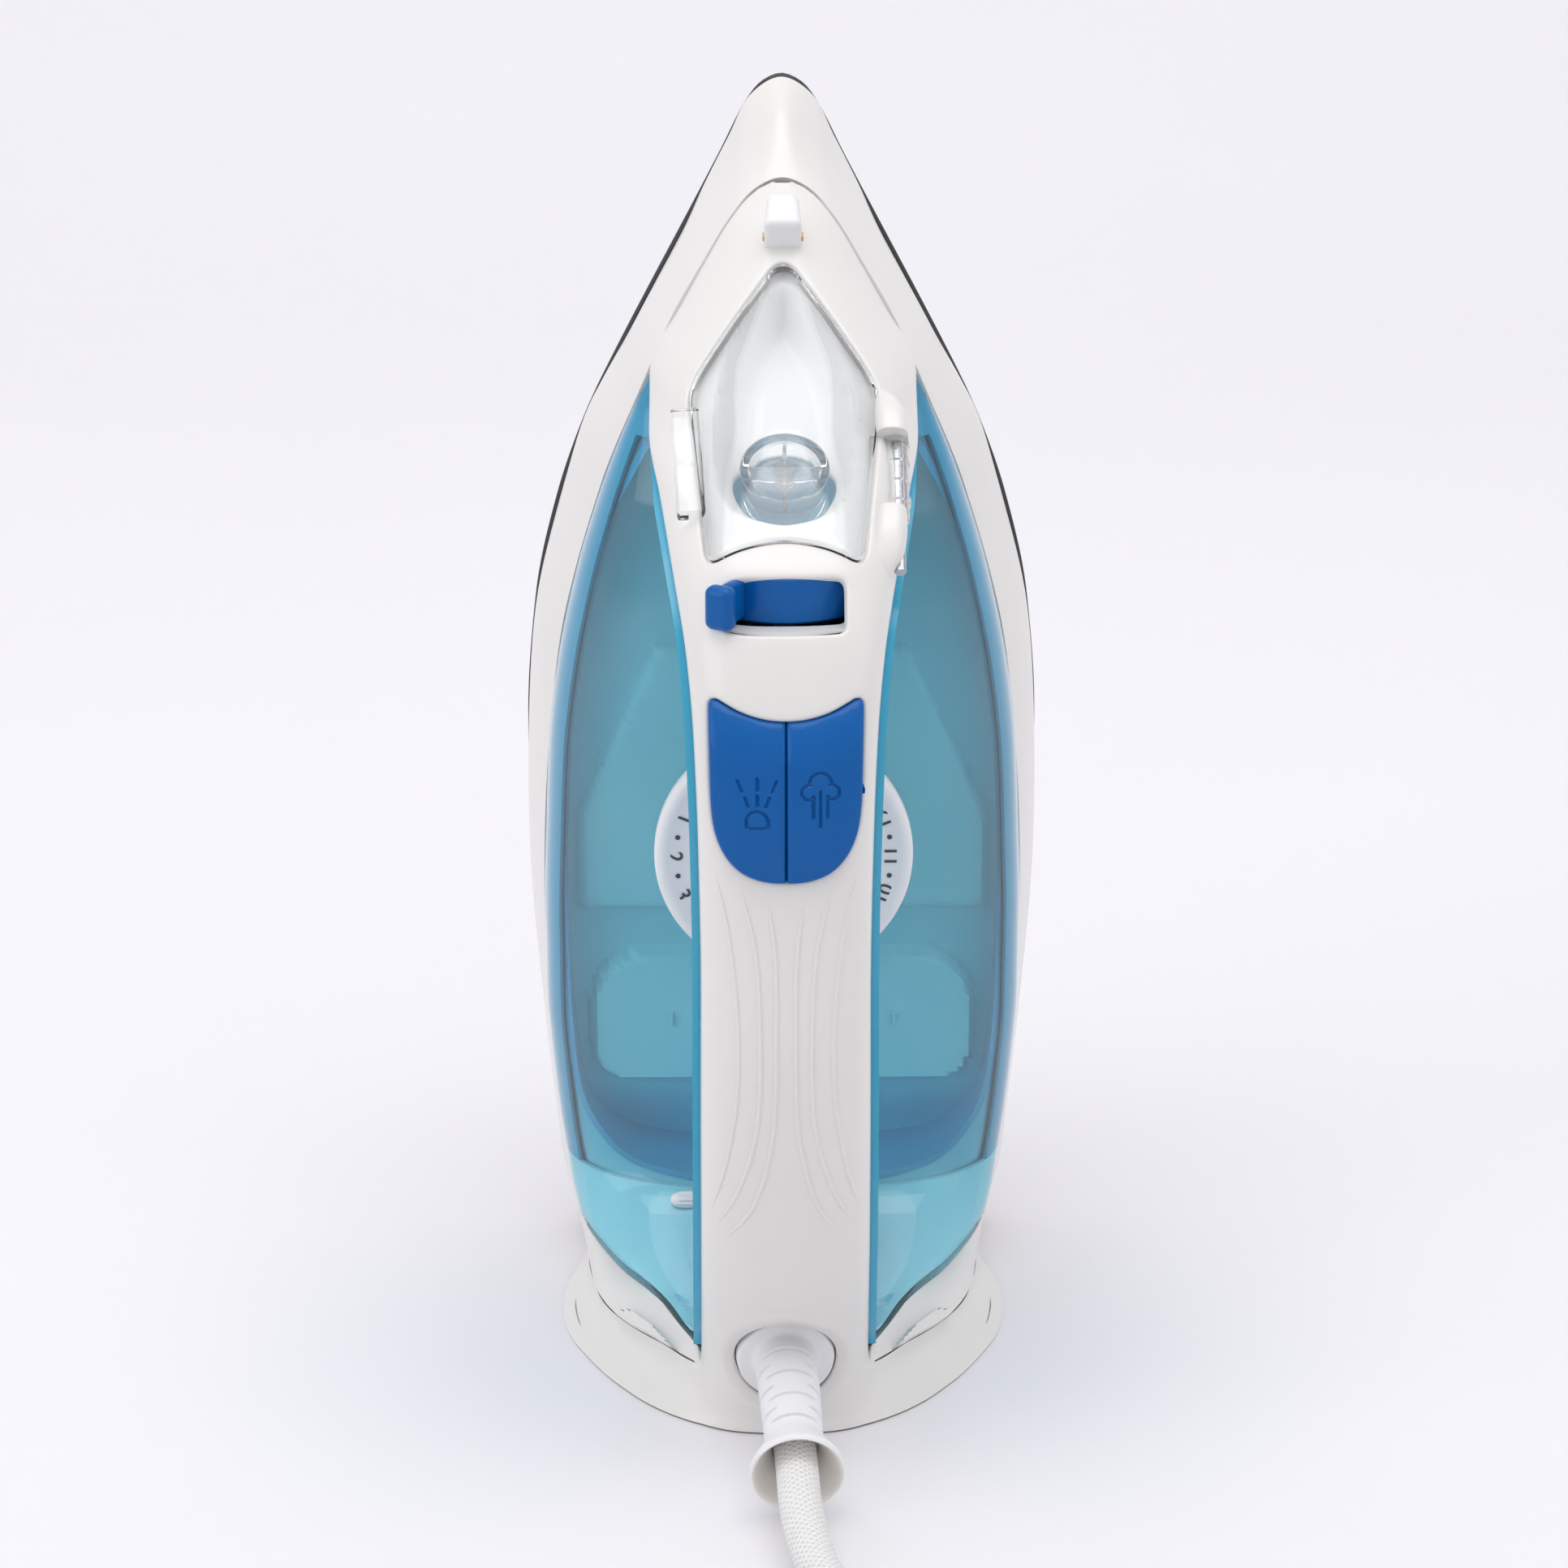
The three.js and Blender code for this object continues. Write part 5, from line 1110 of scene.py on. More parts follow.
def build_foot():
    """The handle's foot with the flared flange and the opening for the cord guard."""
    back = math.radians(179.9)
    edge_z = np.arange(FOOT_TOP, 12.6, -1.0)
    edge_angle = np.arctan2(crown_width(edge_z) - 0.02, crown_edge(edge_z) - HEEL_MIDDLE)
    corner = float(edge_angle[-1])
    wing = np.linspace(corner, back, 200)[1:]
    right = [(a, z) for a, z in zip(edge_angle, edge_z)] + [(a, float(seam_z(a))) for a in wing]
    right += [(back, z) for z in (5.4, 4, 2.7, 1.5)] + [(a, 0.5) for a in np.linspace(back, 0.02, 230)]
    left = [(-a, z) for a, z in reversed(right)]
    top = [(a, FOOT_TOP) for a in np.linspace(-edge_angle[0], edge_angle[0], 26)[1:-1]]
    border = np.array([*right, *left, *top]) * [FOOT_SCALE, 1]
    x, z = circle(0, SOCKET["z"], SOCKET["radius"], 110).T
    angle = x / (SOCKET_H - HEEL_MIDDLE)
    for _ in range(6):
        angle = np.arcsin(np.clip(x / foot_radius(angle, z), -1, 1))
    hole = np.stack([angle * FOOT_SCALE, z], -1)
    shape = thick_skin(foot_point, foot_flat, border, [hole], WALL, 1.05, 0.6, soft_border=False,
                       facing_point=(0, 34))
    add_piece("handle_foot", shape, "shell_white", crease=60)


def build_handle():
    """The white top of the handle with its spine."""
    border = [(s, FOOT_TOP) for s in np.arange(0.2, ARCH, 1.4)]
    border += [(ARCH - 0.1, z) for z in np.arange(FOOT_TOP + 0.6, 271, 1.5)]
    border += [(s, 271.5) for s in np.arange(ARCH - 0.3, 0.3, -1.4)]
    border += [(0.1, z) for z in np.arange(270.5, FOOT_TOP + 0.5, -1.5)]
    (x0, x1), (z0, z1) = WINDOW["x"], WINDOW["z"]
    window = rounded_loop([(x0, z0 + 0.4), (x0 + 5, z0), (x1, z0 + 0.1), (x1, z1 - 0.9), (x1 - 3, z1 - 0.2),
                           (0, z1), (x0 + 4, z1 - 0.4), (x0, z1 - 2.2)],
                          [2.2, 3, 1.8, 2.0, 2, 6, 3, 2], 0.7)
    holes = [spine_loop_on_crown(lid_outline(0.3)), on_crown(*window.T), on_crown(*button_loop(0.25).T)]
    shape = thick_skin(crown_point, crown_flat, np.array(border), holes, WALL, 1.3, 0.9, soft_border=False)
    add_piece("handle_shell", shape, "shell_white", replaces=["handle_top"], crease=40)
    build_window_frame(window)
    beads = []
    for line in GRIP_LINES:
        for side in (-1, 1):
            path = through([(side * x, z) for x, z in line], 1.0)
            lifted = place(path[:, 0], path[:, 1], crown_h(path[:, 0], path[:, 1]) - 0.16)
            ends = np.minimum(np.arange(len(path)), np.arange(len(path))[::-1])
            beads.append(tube(lifted, 0.5 * np.clip(ends / 9 + 0.25, 0, 1), 10))
    add_piece("grip_lines", merge(*beads), "shell_white", crease=60)


def build_window_frame(window):
    """The deep white wall round the selector's window."""
    away = window - window.mean(0)
    away /= np.linalg.norm(away, axis=1, keepdims=True)
    rings = []
    for grow, start in ((0.05, 2.0), (0.05, 6.2), (1.2, 6.2), (1.2, 2.4)):
        loop = window + away * grow
        h = crown_h(loop[:, 0], loop[:, 1])
        rings.append(place(loop[:, 0], loop[:, 1], h - start))
    add_piece("window_frame", rings_closed(rings), "shell_white", crease=40)


grip_under = profile([
    (15, 30), (36, 30), (39, 58), (43, 72), (48, 95), (54, 109), (62, 112), (150, 112), (157, 109),
    (163, 95), (168, 72), (172, 58), (175, 30), (232, 30)])


def build_liner():
    """The blue underside of the handle, which runs down to the tank at both ends."""
    zs = np.concatenate([np.arange(15.6, 70, 0.8), np.arange(70, 148, 3), np.arange(148, 225.5, 0.8)])
    across = np.linspace(0, 1, 41)

    def section(inset):
        rows = []
        for z in zs:
            half = float(crown_width(z)) + LINER_PROUD * (1 - float(smoothstep(z, 212, 224))) - inset
            rim = float(crown_edge(z)) - 0.25
            shift = inset if z < 108 else -inset
            under = float(grip_under(z + shift)) + inset
            low = min(under, rim - 5)
            angle = (across - 0.5) * math.pi
            x = half * signed_power(np.sin(angle), 0.5)
            depth = np.abs(np.cos(angle)) ** 0.5
            h = rim + (low - rim) * depth
            floor = tank_under(x, z, 0) + 0.5 + inset
            rows.append(place(x, z, np.minimum(np.maximum(h, floor), rim)))
        return np.array(rows)

    shape = thick_grid(section(0), section(LINER_WALL))
    add_piece("handle_liner", shape, "tank_blue", replaces=["handle_lower"], crease=50, look=LINER_BLUE)


# ---- Tank ----

TANK_POWER = 2.5  # how square the arch across the tank is
TANK_WALL = 2.2


def tank_grid(inset, zs, columns=72):
    """The tank's arch at each z. Towards the heel the inner one shrinks along z as well."""
    rows = []
    angle = math.pi * np.arange(columns + 1) / columns
    for z in zs:
        rear = 1 - float(smoothstep(z, 28, 40))
        source = max(z - 0.8 * inset * rear, 15)
        half = max(float(seam_width(source)) - inset, 1)
        slope = float(tank_top(z + 0.5) - tank_top(z - 0.5))
        top = float(tank_top(z)) - inset * min(math.hypot(1, slope), 2.2)
        low = min(float(seam_h(source)), top - 0.4)
        x, rise = signed_power(-np.cos(angle), 2 / TANK_POWER), signed_power(np.sin(angle), 2 / TANK_POWER)
        rows.append(place(half * x, z, low + (top - low) * rise))
    return np.array(rows)


def build_tank():
    """The see-through cover and what shows through it."""
    zs = np.concatenate([np.arange(15, 26, 0.35), np.arange(26, 44, 1), np.arange(44, 232.3, 2.2)])
    shape = thick_grid(tank_grid(0, zs), tank_grid(TANK_WALL, zs))
    add_piece("tank_cover", shape, "tank_blue", replaces=["tank_shell"], crease=40)
    build_tank_floor()


RIM_OUTLINE = [
    (0, 35.4), (12, 35.6), (22.3, 36), (36, 38.6), (43.6, 44.6), (48.8, 55), (51, 75), (51.9, 106),
    (51.5, 126.5), (50.1, 146.5), (46.5, 170.3), (40.5, 195.5), (31.1, 215.6), (27, 222)]
BACKING_EDGE = [
    (0, 17.5), (17, 17.6), (21.5, 18.8), (27.5, 21), (35, 22), (42, 23.2), (47.3, 26.4), (49.7, 35),
    (52.3, 56), (53.7, 77), (53.7, 98), (53, 119), (51.9, 140), (49.3, 160), (44.9, 180.5),
    (38.8, 201.3), (31, 220), (26.5, 227)]


def tank_under(x, z, inset):
    """h of a surface at an even depth under the tank's cover."""
    slope = tank_top(z + 0.5) - tank_top(z - 0.5)
    top = tank_top(z) - inset * np.minimum(np.hypot(1, slope), 2.4)
    share = np.minimum(np.abs(x) / np.maximum(seam_width(z) - inset, 1), 1)
    low = np.minimum(seam_h(z), top - 0.4)
    return low + (top - low) * (1 - share**TANK_POWER) ** (1 / TANK_POWER)


def floor_h(x, z):
    """h of the tank's moulded floor, with a rounded pad at the rear and a wide one round the dial."""
    across = np.maximum(np.abs(x) - 30, 0) / 16
    along = np.where(z > 72, (z - 72) / 17, (72 - z) / 17.5)
    power = np.where(z > 72, 2.2, 4.0)
    pad = (across**power + np.abs(along) ** power) ** (1 / power)
    height = 38 + 5.0 * (1 - smoothstep(pad, 0.93, 1.0))
    width = 49.0 - 0.46 * np.maximum(z - 122, 0)
    block = np.maximum(np.abs(x) / width, np.abs(z - 131) / 33)
    height = height + 2.4 * (1 - smoothstep(block, 0.955, 1.0))
    return height - 5 * (1 - smoothstep(z, 38, 53))


def symmetric_loop(right, spacing):
    """A closed smooth outline from the points of its right half."""
    side = through(right, spacing)
    return np.vstack([side, side[::-1] * [-1, 1]])[:-1]


def build_tank_floor():
    """The tank's floor, the blue backing inside its cover, and its welded rim."""
    rim = symmetric_loop(RIM_OUTLINE, 1.4)
    side = outward_sides(rim, [0, 120])

    point, flat = plane_surface(floor_h)
    shape = thick_skin(point, flat, rim - 0.2 * side, [], 1.6, 1.3, 0.5, into=(0, 1, 0))
    floor = add_piece("tank_floor", shape, "tank_blue", replaces=["tank_base"], crease=50,
                      look=TANK_INSIDE)
    # The second material paints the pads' tops lighter: painted light on the faces high up on the floor.
    floor.data.materials.append(TANK_RAISED_PAINTED_LIGHT)
    for polygon in floor.data.polygons:
        x, z, h = polygon.center.x / MM, polygon.center.z / MM, SOLE_Y - polygon.center.y / MM
        if h > 39.2 and z > 54:
            polygon.material_index = 1

    point, flat = plane_surface(lambda x, z: tank_under(x, z, 2.7))
    edge = symmetric_loop(BACKING_EDGE, 1.6)
    shape = thick_skin(point, flat, edge, [rim + 0.2 * side], 1.0, 1.6, 0.4, into=(0, 1, 0))
    add_piece("tank_backing", shape, "tank_blue", crease=50, look=TANK_BACKING)

    def lining(low, high, columns):
        zs = np.arange(low, high, 0.35 if low < 30 else 1.0)
        return thick_grid(tank_grid(0.8, zs)[:, columns], tank_grid(1.8, zs)[:, columns])

    add_piece("tank_ramp", lining(15.1, 35.4, slice(None)), "tank_blue", crease=50, look=TANK_BACKING)
    sides = [lining(35, 232, slice(0, 10)), lining(35, 232, slice(63, 73)), lining(217, 232, slice(9, 64))]
    add_piece("tank_sides", merge(*sides), "tank_blue", crease=50, look=TANK_BAND)

    # The welded rim, which shows through the cover as a dark line.
    rings = []
    for offset, drop in [(0.15, 30), (0.15, 0.05), (-1.4, 0.05), (-1.4, 30)]:
        x, z = (rim + offset * side).T
        rings.append(place(x, z, np.maximum(tank_under(x, z, 2.4) - drop, 31)))
    add_piece("tank_rim", rings_closed(rings), "tank_blue", crease=30, look=TANK_RIM)
    # The small marks take the same painted-light colour as the pads' tops.
    marks = []
    for way in (-1, 1):
        for size, x, z in (((0.6, 1.0, 3.4), 26.4, 71.4), ((2.0, 1.0, 0.6), 27.1, 73)):
            marks.append(soft_box(size, 0.2, Matrix.Translation((way * x, SOLE_Y - 43.4, z)), 2))
    add_piece("tank_marks", merge(*marks), "tank_blue", look=TANK_RAISED_PAINTED_LIGHT)


# ---- White lower shell and sole ----

# Three points (x, z, h) on each row: lower edge, fullest line and upper edge.
SKIRT_ROWS = [
    [(19.6, 12.0, 106), (19.8, 13.4, 104.4), (20, 14.8, 102.6)],
    [(29, 11.6, 94), (27.5, 13.8, 91.8), (26, 16.4, 90.5)],
    [(38, 9.9, 79.5), (35.6, 13.6, 76), (33.4, 18.2, 72.5)],
    [(44.5, 8.2, 61), (42.6, 14.4, 58), (40.2, 19.1, 54.8)],
    [(47.2, 7.2, 40), (48.2, 15.4, 41), (46.8, 20.3, 40)],
    [(46.6, 7.0, 20), (51.2, 17, 25), (50.3, 23.3, 31.7)],
    [(49.4, 9.0, 6), (54, 24, 17), (52.1, 29.5, 30)],
    [(53.6, 21, 3.6), (55.4, 34, 15), (53.4, 40, 29.7)],
    [(56.8, 52, 3.6), (57.8, 58, 15), (55.8, 64, 29.7)],
    [(60.7, 92, 3.6), (60.4, 95, 15), (56.9, 98, 29.7)],
    [(60.7, 130, 3.6), (60.4, 130, 15), (55.7, 130, 29.7)],
    [(58.4, 164, 3.6), (57.8, 163, 15.5), (52.5, 160, 30.7)],
    [(52.5, 190, 3.6), (51.8, 187, 16), (48.1, 180.5, 32.7)],
    [(45.6, 210, 3.6), (47.1, 207, 16), (42, 201.3, 36.7)],
    [(40.4, 220.8, 3.6), (43.4, 216.6, 16), (38.3, 211.8, 39.7)],
    [(34.6, 231.8, 3.6), (38.5, 226, 16), (34, 222.5, 43.6)],
    [(29, 242.5, 3.6), (33.6, 236, 16), (30.1, 232.9, 49.7)],
    [(22.6, 254.6, 3.6), (26.6, 248, 16), (24.8, 244.2, 45.7)],
    [(17.9, 264.8, 3.6), (20.6, 258, 16), (18.4, 254.7, 41.8)],
    [(12.1, 276.3, 3.6), (12.5, 270, 16), (11.7, 264.9, 37.7)],
    [(7.4, 285.4, 3.6), (7.5, 277.5, 16), (6.3, 270.2, 33.7)],
    [(0, 289.8, 3.6), (0, 284.6, 16), (0, 272.4, 31.9)],
]


def skirt_rails():
    """The three long lines of the skirt, from its right end at the heel round the nose to its left."""
    rails = []
    for rail in range(3):
        right = [np.array(place(*row[rail])) for row in SKIRT_ROWS]
        left = [p * [-1, 1, 1] for p in reversed(right[:-1])]
        rails.append(spline(np.array([*right, *left]), 8))
    return rails


def build_skirt():
    low, mid, high = skirt_rails()
    noses = smoothstep(mid[:, 2], 196, 240)[:, None]
    t = np.linspace(0, 1, 21)
    rows = []
    control = 2 * mid - (low + high) / 2
    for value in t:
        soft = (1 - value) ** 2 * low + 2 * value * (1 - value) * control + value**2 * high
        folded = low + (mid - low) * min(2 * value, 1) + (high - mid) * max(2 * value - 1, 0)
        rows.append(soft * (1 - noses) + folded * noses)
    outer = np.stack(rows, 1)
    normals = grid_normals(outer)
    middle = place(np.zeros(len(low)), np.clip(mid[:, 2], 60, 235), np.full(len(low), 40.0))[:, None]
    facing = np.sign((normals * (middle - outer)).sum(-1, keepdims=True))
    inner = outer + normals * facing * WALL
    shape = thick_grid(outer, inner)
    add_piece("skirt_shell", shape, "shell_white", replaces=["skirt"], crease=24)
    plate = rounded_loop([(46.2, 7.4), (49.5, 12), (53.6, 48.2), (-53.6, 48.2), (-49.5, 12), (-46.2, 7.4)],
                         [3, 6, 0.6, 0.6, 6, 3], 1.5)
    point, flat = plane_surface(lambda x, z: 3.8 + 0 * x)
    add_piece("skirt_back", thick_skin(point, flat, plate, [], 2.2, 3, 0.5, into=(0, -1, 0)),
              "shell_white", crease=50)


def build_sole():
    """The steel sole: a thin plate with rounded edges, steam holes and a shallow channel."""
    zs = [*np.arange(48.3, 270, 6), 273, 278, 282, 285.6, 288, 289.6]
    right = [(float(sole_width(z)), z) for z in zs]
    loop = rounded_loop([*right, (0, TIP_Z), *[(-x, z) for x, z in reversed(right)]], 2.5, 1.6)
    inset = 13  # the row of holes from the sole's edge
    places = [(side * (float(sole_width(z)) - inset), z) for z in range(118, 245, 21) for side in (-1, 1)]
    places += [(0, z) for z in (150, 171, 192, 213, 270)]
    holes = [circle(x, z, 1.7, 16) for x, z in places]

    def face(x, z):
        channel = np.abs(np.abs(x) - (sole_width(z) - inset))
        open_part = smoothstep(z, 96, 106) * (1 - smoothstep(z, 250, 262))
        return 0.02 + 0.35 * (1 - smoothstep(channel, 2.6, 4.2)) * open_part

    point, flat = plane_surface(face)
    shape = thick_skin(point, flat, loop, holes, 2.9, 2.4, 0.7, into=(0, -1, 0))
    plate = add_piece("sole_face", shape, "sole_steel", replaces=["soleplate"], crease=50)
    plate.data.materials.append(SOLE_EDGE)
    face_y = (SOLE_Y - 0.55) * MM
    for polygon in plate.data.polygons:
        if polygon.center.y < face_y:
            polygon.material_index = 1


# ---- Filler, lid and nozzle ----


def build_lid():
    """The clear lid with its finger tab, stopper and hinge barrel."""
    def proud_point(p):
        return crown_point(p) + np.array([0, -0.5, 0.35])

    panel = thick_skin(proud_point, crown_flat, spine_loop_on_crown(lid_outline(0)), [], 2.5, 1.5, 0.6)
    add_piece("lid_panel", panel, "clear_plastic", body="lid", replaces=["filler_lid"], crease=40)
    at_tab = on_spine(-20.7, -16.4, -3.6) @ Matrix.Rotation(math.radians(3.3), 4, "Z")
    bar = soft_box((6.2, 29.4, 3.0), 0.8, at_tab)
    add_piece("lid_tab", bar, "clear_plastic", body="lid")
    rim = [(0, -2.6), (7.6, -2.65), (8.6, -2.9), (9.3, -3.5), (9.5, -4.3), (9.4, -5.1), (9.0, -5.6),
           (9.0, -12.2), (9.5, -12.8), (9.6, -14.2), (9.1, -15.2), (8.3, -15.4), (7.6, -14.9), (7.6, -5.2),
           (7.0, -4.6), (5.5, -4.1), (0, -4.1)]
    stopper = lathe(rim, 72, on_spine(0, LID_HOLE_U))
    ribs = [soft_box(size, 0.3, on_spine(0, LID_HOLE_U, -6.8), 2)
            for size in ((0.9, 15, 4.6), (15, 0.9, 4.6))]
    hub = lathe([(0, -4.2), (2.2, -4.2), (2.2, -9.6), (1.8, -10), (0, -10)], 32,
                on_spine(0, LID_HOLE_U))
    add_piece("lid_stopper", stopper, "clear_plastic", body="lid", crease=40)
    add_piece("stopper_ribs", merge(*ribs, hub), "clear_plastic", body="lid", crease=40)
    half, radius, bore, hinge_u = 10.9, 2.7, 1.5, -17.3
    around_hinge = on_spine(HINGE.x - 0.4, hinge_u, HINGE.z) @ Matrix.Rotation(math.pi / 2, 4, "X")
    barrel = [(bore, -half), (radius, -half)]
    for s in np.arange(-half + 0.3, half, 0.3):
        collar = 0.35 if (s + half) % (half / 2) < 1.6 else 0
        barrel.append((radius + collar, s))
    barrel += [(radius, half), (bore, half)]
    arm = soft_box((4.6, 2 * half, 1.8), 0.5, on_spine(20.2, hinge_u, HINGE.z + 0.6))
    add_piece("lid_barrel", lathe(barrel, 40, around_hinge), "clear_plastic", body="lid", crease=30)
    add_piece("lid_arm", arm, "clear_plastic", body="lid")


def build_hinge_bosses():
    """The two white bosses that carry the lid's pin."""
    # Each section is (u, middle x, half-width, middle n, half-height).
    upper = [(-6.9, 23.3, 3.3, -6.6, 3.4), (-6.5, 23.3, 3.6, -6.6, 3.8), (-1.5, 23.0, 3.5, -6.6, 3.8),
             (3.5, 22.2, 2.6, -7.4, 2.9), (7.6, 21.2, 1.2, -9.0, 1.6), (8.8, 20.8, 0.2, -9.8, 0.3)]
    lower = [(-27.7, 22.7, 3.1, -6.6, 3.3), (-28.1, 22.7, 3.4, -6.6, 3.7), (-34, 22.3, 3.7, -6.9, 3.9),
             (-39.4, 21.8, 3.0, -7.9, 3.3), (-43.4, 20.7, 1.5, -9.3, 1.7), (-44.8, 20.3, 0.2, -10.2, 0.3)]
    across, out = signed_power(circle(0, 0, 1, 32), 0.75).T
    thinnest = 0.1
    shapes = []
    for sections in (upper, lower):
        rings = []
        for u, x, wide, n, tall in spline(sections, 5):
            rings.append(from_spine(x + max(wide, thinnest) * across, u, n + max(tall, thinnest) * out))
        shapes.append(rings_body(rings))
    add_piece("hinge_bosses", merge(*shapes), "shell_white", crease=50)


BOWL_OUTLINE = [
    (0, 34.5), (5, 31), (10, 22), (13.2, 11), (14.7, 0), (15, -12), (14, -22), (10, -29.8), (0, -33.5)]


def build_bowl():
    """The well under the lid: a sunk ledge, the egg-shaped bowl and the filler hole."""
    egg = through(mirrored(BOWL_OUTLINE), 1.2, closed=True)

    def depth(x, u):
        """How deep the bowl is: its walls slope in from the egg's outline."""
        places = np.stack([x, u], -1)
        gaps = np.sqrt(((places[:, None] - egg[None]) ** 2).sum(-1)).min(1)
        gaps = np.where(inside(places, egg), gaps, 0)
        return 8.6 * smoothstep(gaps, 0, 7.5) + 0.9 * smoothstep(gaps, 0, 1.2)

    def ledge(x, u):
        return spine_height(x, u) - 4.3

    def point(p):
        x, u = p[:, 0], p[:, 1]
        return from_spine(x, u, ledge(x, u) - depth(x, u))

    inverse = np.array(LID_MATRIX.inverted())

    def flat(q):
        return (q @ inverse[:3, :3].T + inverse[:3, 3])[:, :2]

    border = rounded_loop(lid_outline(1.2)[::3], 1.2, 1.2)
    hole = circle(0, LID_HOLE_U, 11, 64)
    n = np.array(LID_MATRIX)[:3, 2]
    shape = thick_skin(point, flat, border, [hole], 1.4, 1.0, 0.6, into=-n)
    add_piece("filler_well", shape, "trim_white", replaces=["filler_bowl"], crease=50, look=WELL_WHITE)
    neck = lathe([(0, -29.4), (9.2, -29.4), (11.2, -27), (11.2, -13.4), (12.3, -13.4), (12.3, -27.6),
                  (9.8, -30.4), (0, -30.4)], 64, on_spine(0, LID_HOLE_U))
    add_piece("filler_neck", neck, "trim_white", crease=40, look=TANK_BACKING)


def build_nozzle():
    """The spray nozzle's white housing, with a little of the brass jet showing at its sides."""
    rings = []
    for n, wide, tall in [(-4.2, 4.4, 5.0), (5.2, 4.2, 4.8), (6.3, 3.8, 4.4), (6.7, 3.0, 3.6)]:
        corners = [(-wide, -tall), (wide, -tall), (wide * 0.82, tall), (-wide * 0.82, tall)]
        loop = rounded_loop(corners, [1.0, 1.0, 2.0, 2.0], 0.5)[:60]
        length = np.linalg.norm(np.diff(loop, axis=0), axis=1).sum()
        loop = evenly(np.vstack([loop, loop[:1]]), length / 64)[:64]
        rings.append(from_spine(loop[:, 0], NOZZLE_U + loop[:, 1], n))
    add_piece("nozzle_box", rings_body(rings), "trim_white", replaces=["nozzle_housing"], crease=50)
    glints = [soft_box((0.4, 1.4, 1.6), 0.15, on_spine(side * 4.35, 44.4, 1.0)) for side in (-1, 1)]
    jet = lathe([(0.5, 0), (1.5, 0), (1.5, 5.0), (1.2, 5.5), (0.9, 5.6), (0.5, 5.0)], 32,
                on_spine(0, NOZZLE_U, -0.6) @ Matrix.Rotation(-math.pi / 2, 4, "X"))
    add_piece("nozzle_brass", merge(*glints, jet), "brass", replaces=["nozzle_tip"], crease=40)


# ---- Selector, buttons and dial ----


def build_selector():
    """The drum behind the window, with facets along its face and a thumb tab."""
    pivot = joint_place("steam_selector_turn")
    z0, z1 = WINDOW["z"][0] + 0.25, WINDOW["z"][1] - 0.25
    radius = 19.3
    angles = np.radians(np.linspace(-112, 40, 90))

    def arc(r, z):
        return np.stack([r * np.sin(angles), pivot.y - r * np.cos(angles), np.full(len(angles), z)], -1)

    bevel, wall = 0.5, 2.6
    outline = [arc(radius - bevel, z0), arc(radius, z0 + bevel), arc(radius, z1 - bevel),
               arc(radius - bevel, z1), arc(radius - wall, z1), arc(radius - wall, z0)]
    band = rings_body(np.array(outline).transpose(1, 0, 2))
    web = [(16.9 * math.sin(a), pivot.y - 16.9 * math.cos(a)) for a in np.radians(np.linspace(-60, 10, 30))]
    web += [(2.9, pivot.y + 1.2), (-2.9, pivot.y + 1.2)]
    web_rings = [[(x, y, z) for x, y in web] for z in (z0, z0 + 1.8)]
    hub = lathe([(1.9, z0), (4, z0), (4, z0 + 5), (1.9, z0 + 5)], 32, Matrix.Translation((0, pivot.y, 0)))
    tab_angle = math.radians(-30)

    def on_tab(reach):
        spot = (reach * math.sin(tab_angle), pivot.y - reach * math.cos(tab_angle), 202.5)
        return Matrix.Translation(spot) @ Matrix.Rotation(tab_angle, 4, "Z")

    cap = soft_box((6.6, 4.4, 9.6), 1.9, on_tab(27.3), 8)
    stem = soft_box((2.6, 7.5, 9.0), 1.0, on_tab(22.4), 3)
    shape = merge(band, rings_body(web_rings), hub, cap, stem)
    add_piece("selector_drum", shape, "button_blue", body="selector", replaces=["steam_selector"],
              crease=40)


def strokes_near(x, z, strokes):
    """Distance from each place to the nearest of some strokes, each a line of points."""
    best = np.full(x.shape, 99.0)
    for line in strokes:
        for (x0, z0), (x1, z1) in zip(line, line[1:]):
            dx, dz = x1 - x0, z1 - z0
            t = np.clip(((x - x0) * dx + (z - z0) * dz) / (dx * dx + dz * dz), 0, 1)
            best = np.minimum(best, np.hypot(x - x0 - t * dx, z - z0 - t * dz))
    return best


def arc_line(x, z, radius, start, end, count=14):
    return [(x + radius * math.cos(a), z + radius * math.sin(a))
            for a in np.radians(np.linspace(start, end, count))]


def spray_icon(x, z):
    """A nozzle with short rays of spray over it."""
    r = 2.3
    cup = [(x - r, z), (x - r, z + 1.1), *arc_line(x, z + 1.3, r, 172, 8), (x + r, z + 1.1), (x + r, z)]
    rays = [(0, 4.8, 0, 7.0), (0, 8.1, 0, 10.6)]
    for side in (1, -1):
        rays += [(side * 1.9, 4.6, side * 2.6, 6.6), (side * 3.2, 7.8, side * 4.1, 10.0)]
    return [cup + [cup[0]], *[[(x + a, z + b), (x + c, z + d)] for a, b, c, d in rays]]


def steam_icon(x, z):
    """A cloud with three plumes under it."""
    cloud = [arc_line(x - 2.4, z + 7.4, 1.55, 285, 75), arc_line(x, z + 9.2, 2.3, 172, 8),
             arc_line(x + 2.4, z + 7.4, 1.55, 105, -105)]
    plumes = [[(x + dx, z + top), (x + dx, z + low)] for dx, top, low in
              ((-1.5, 6.6, 2.0), (0, 7.6, 0), (1.5, 6.6, 2.0))]
    return [*cloud, *plumes]


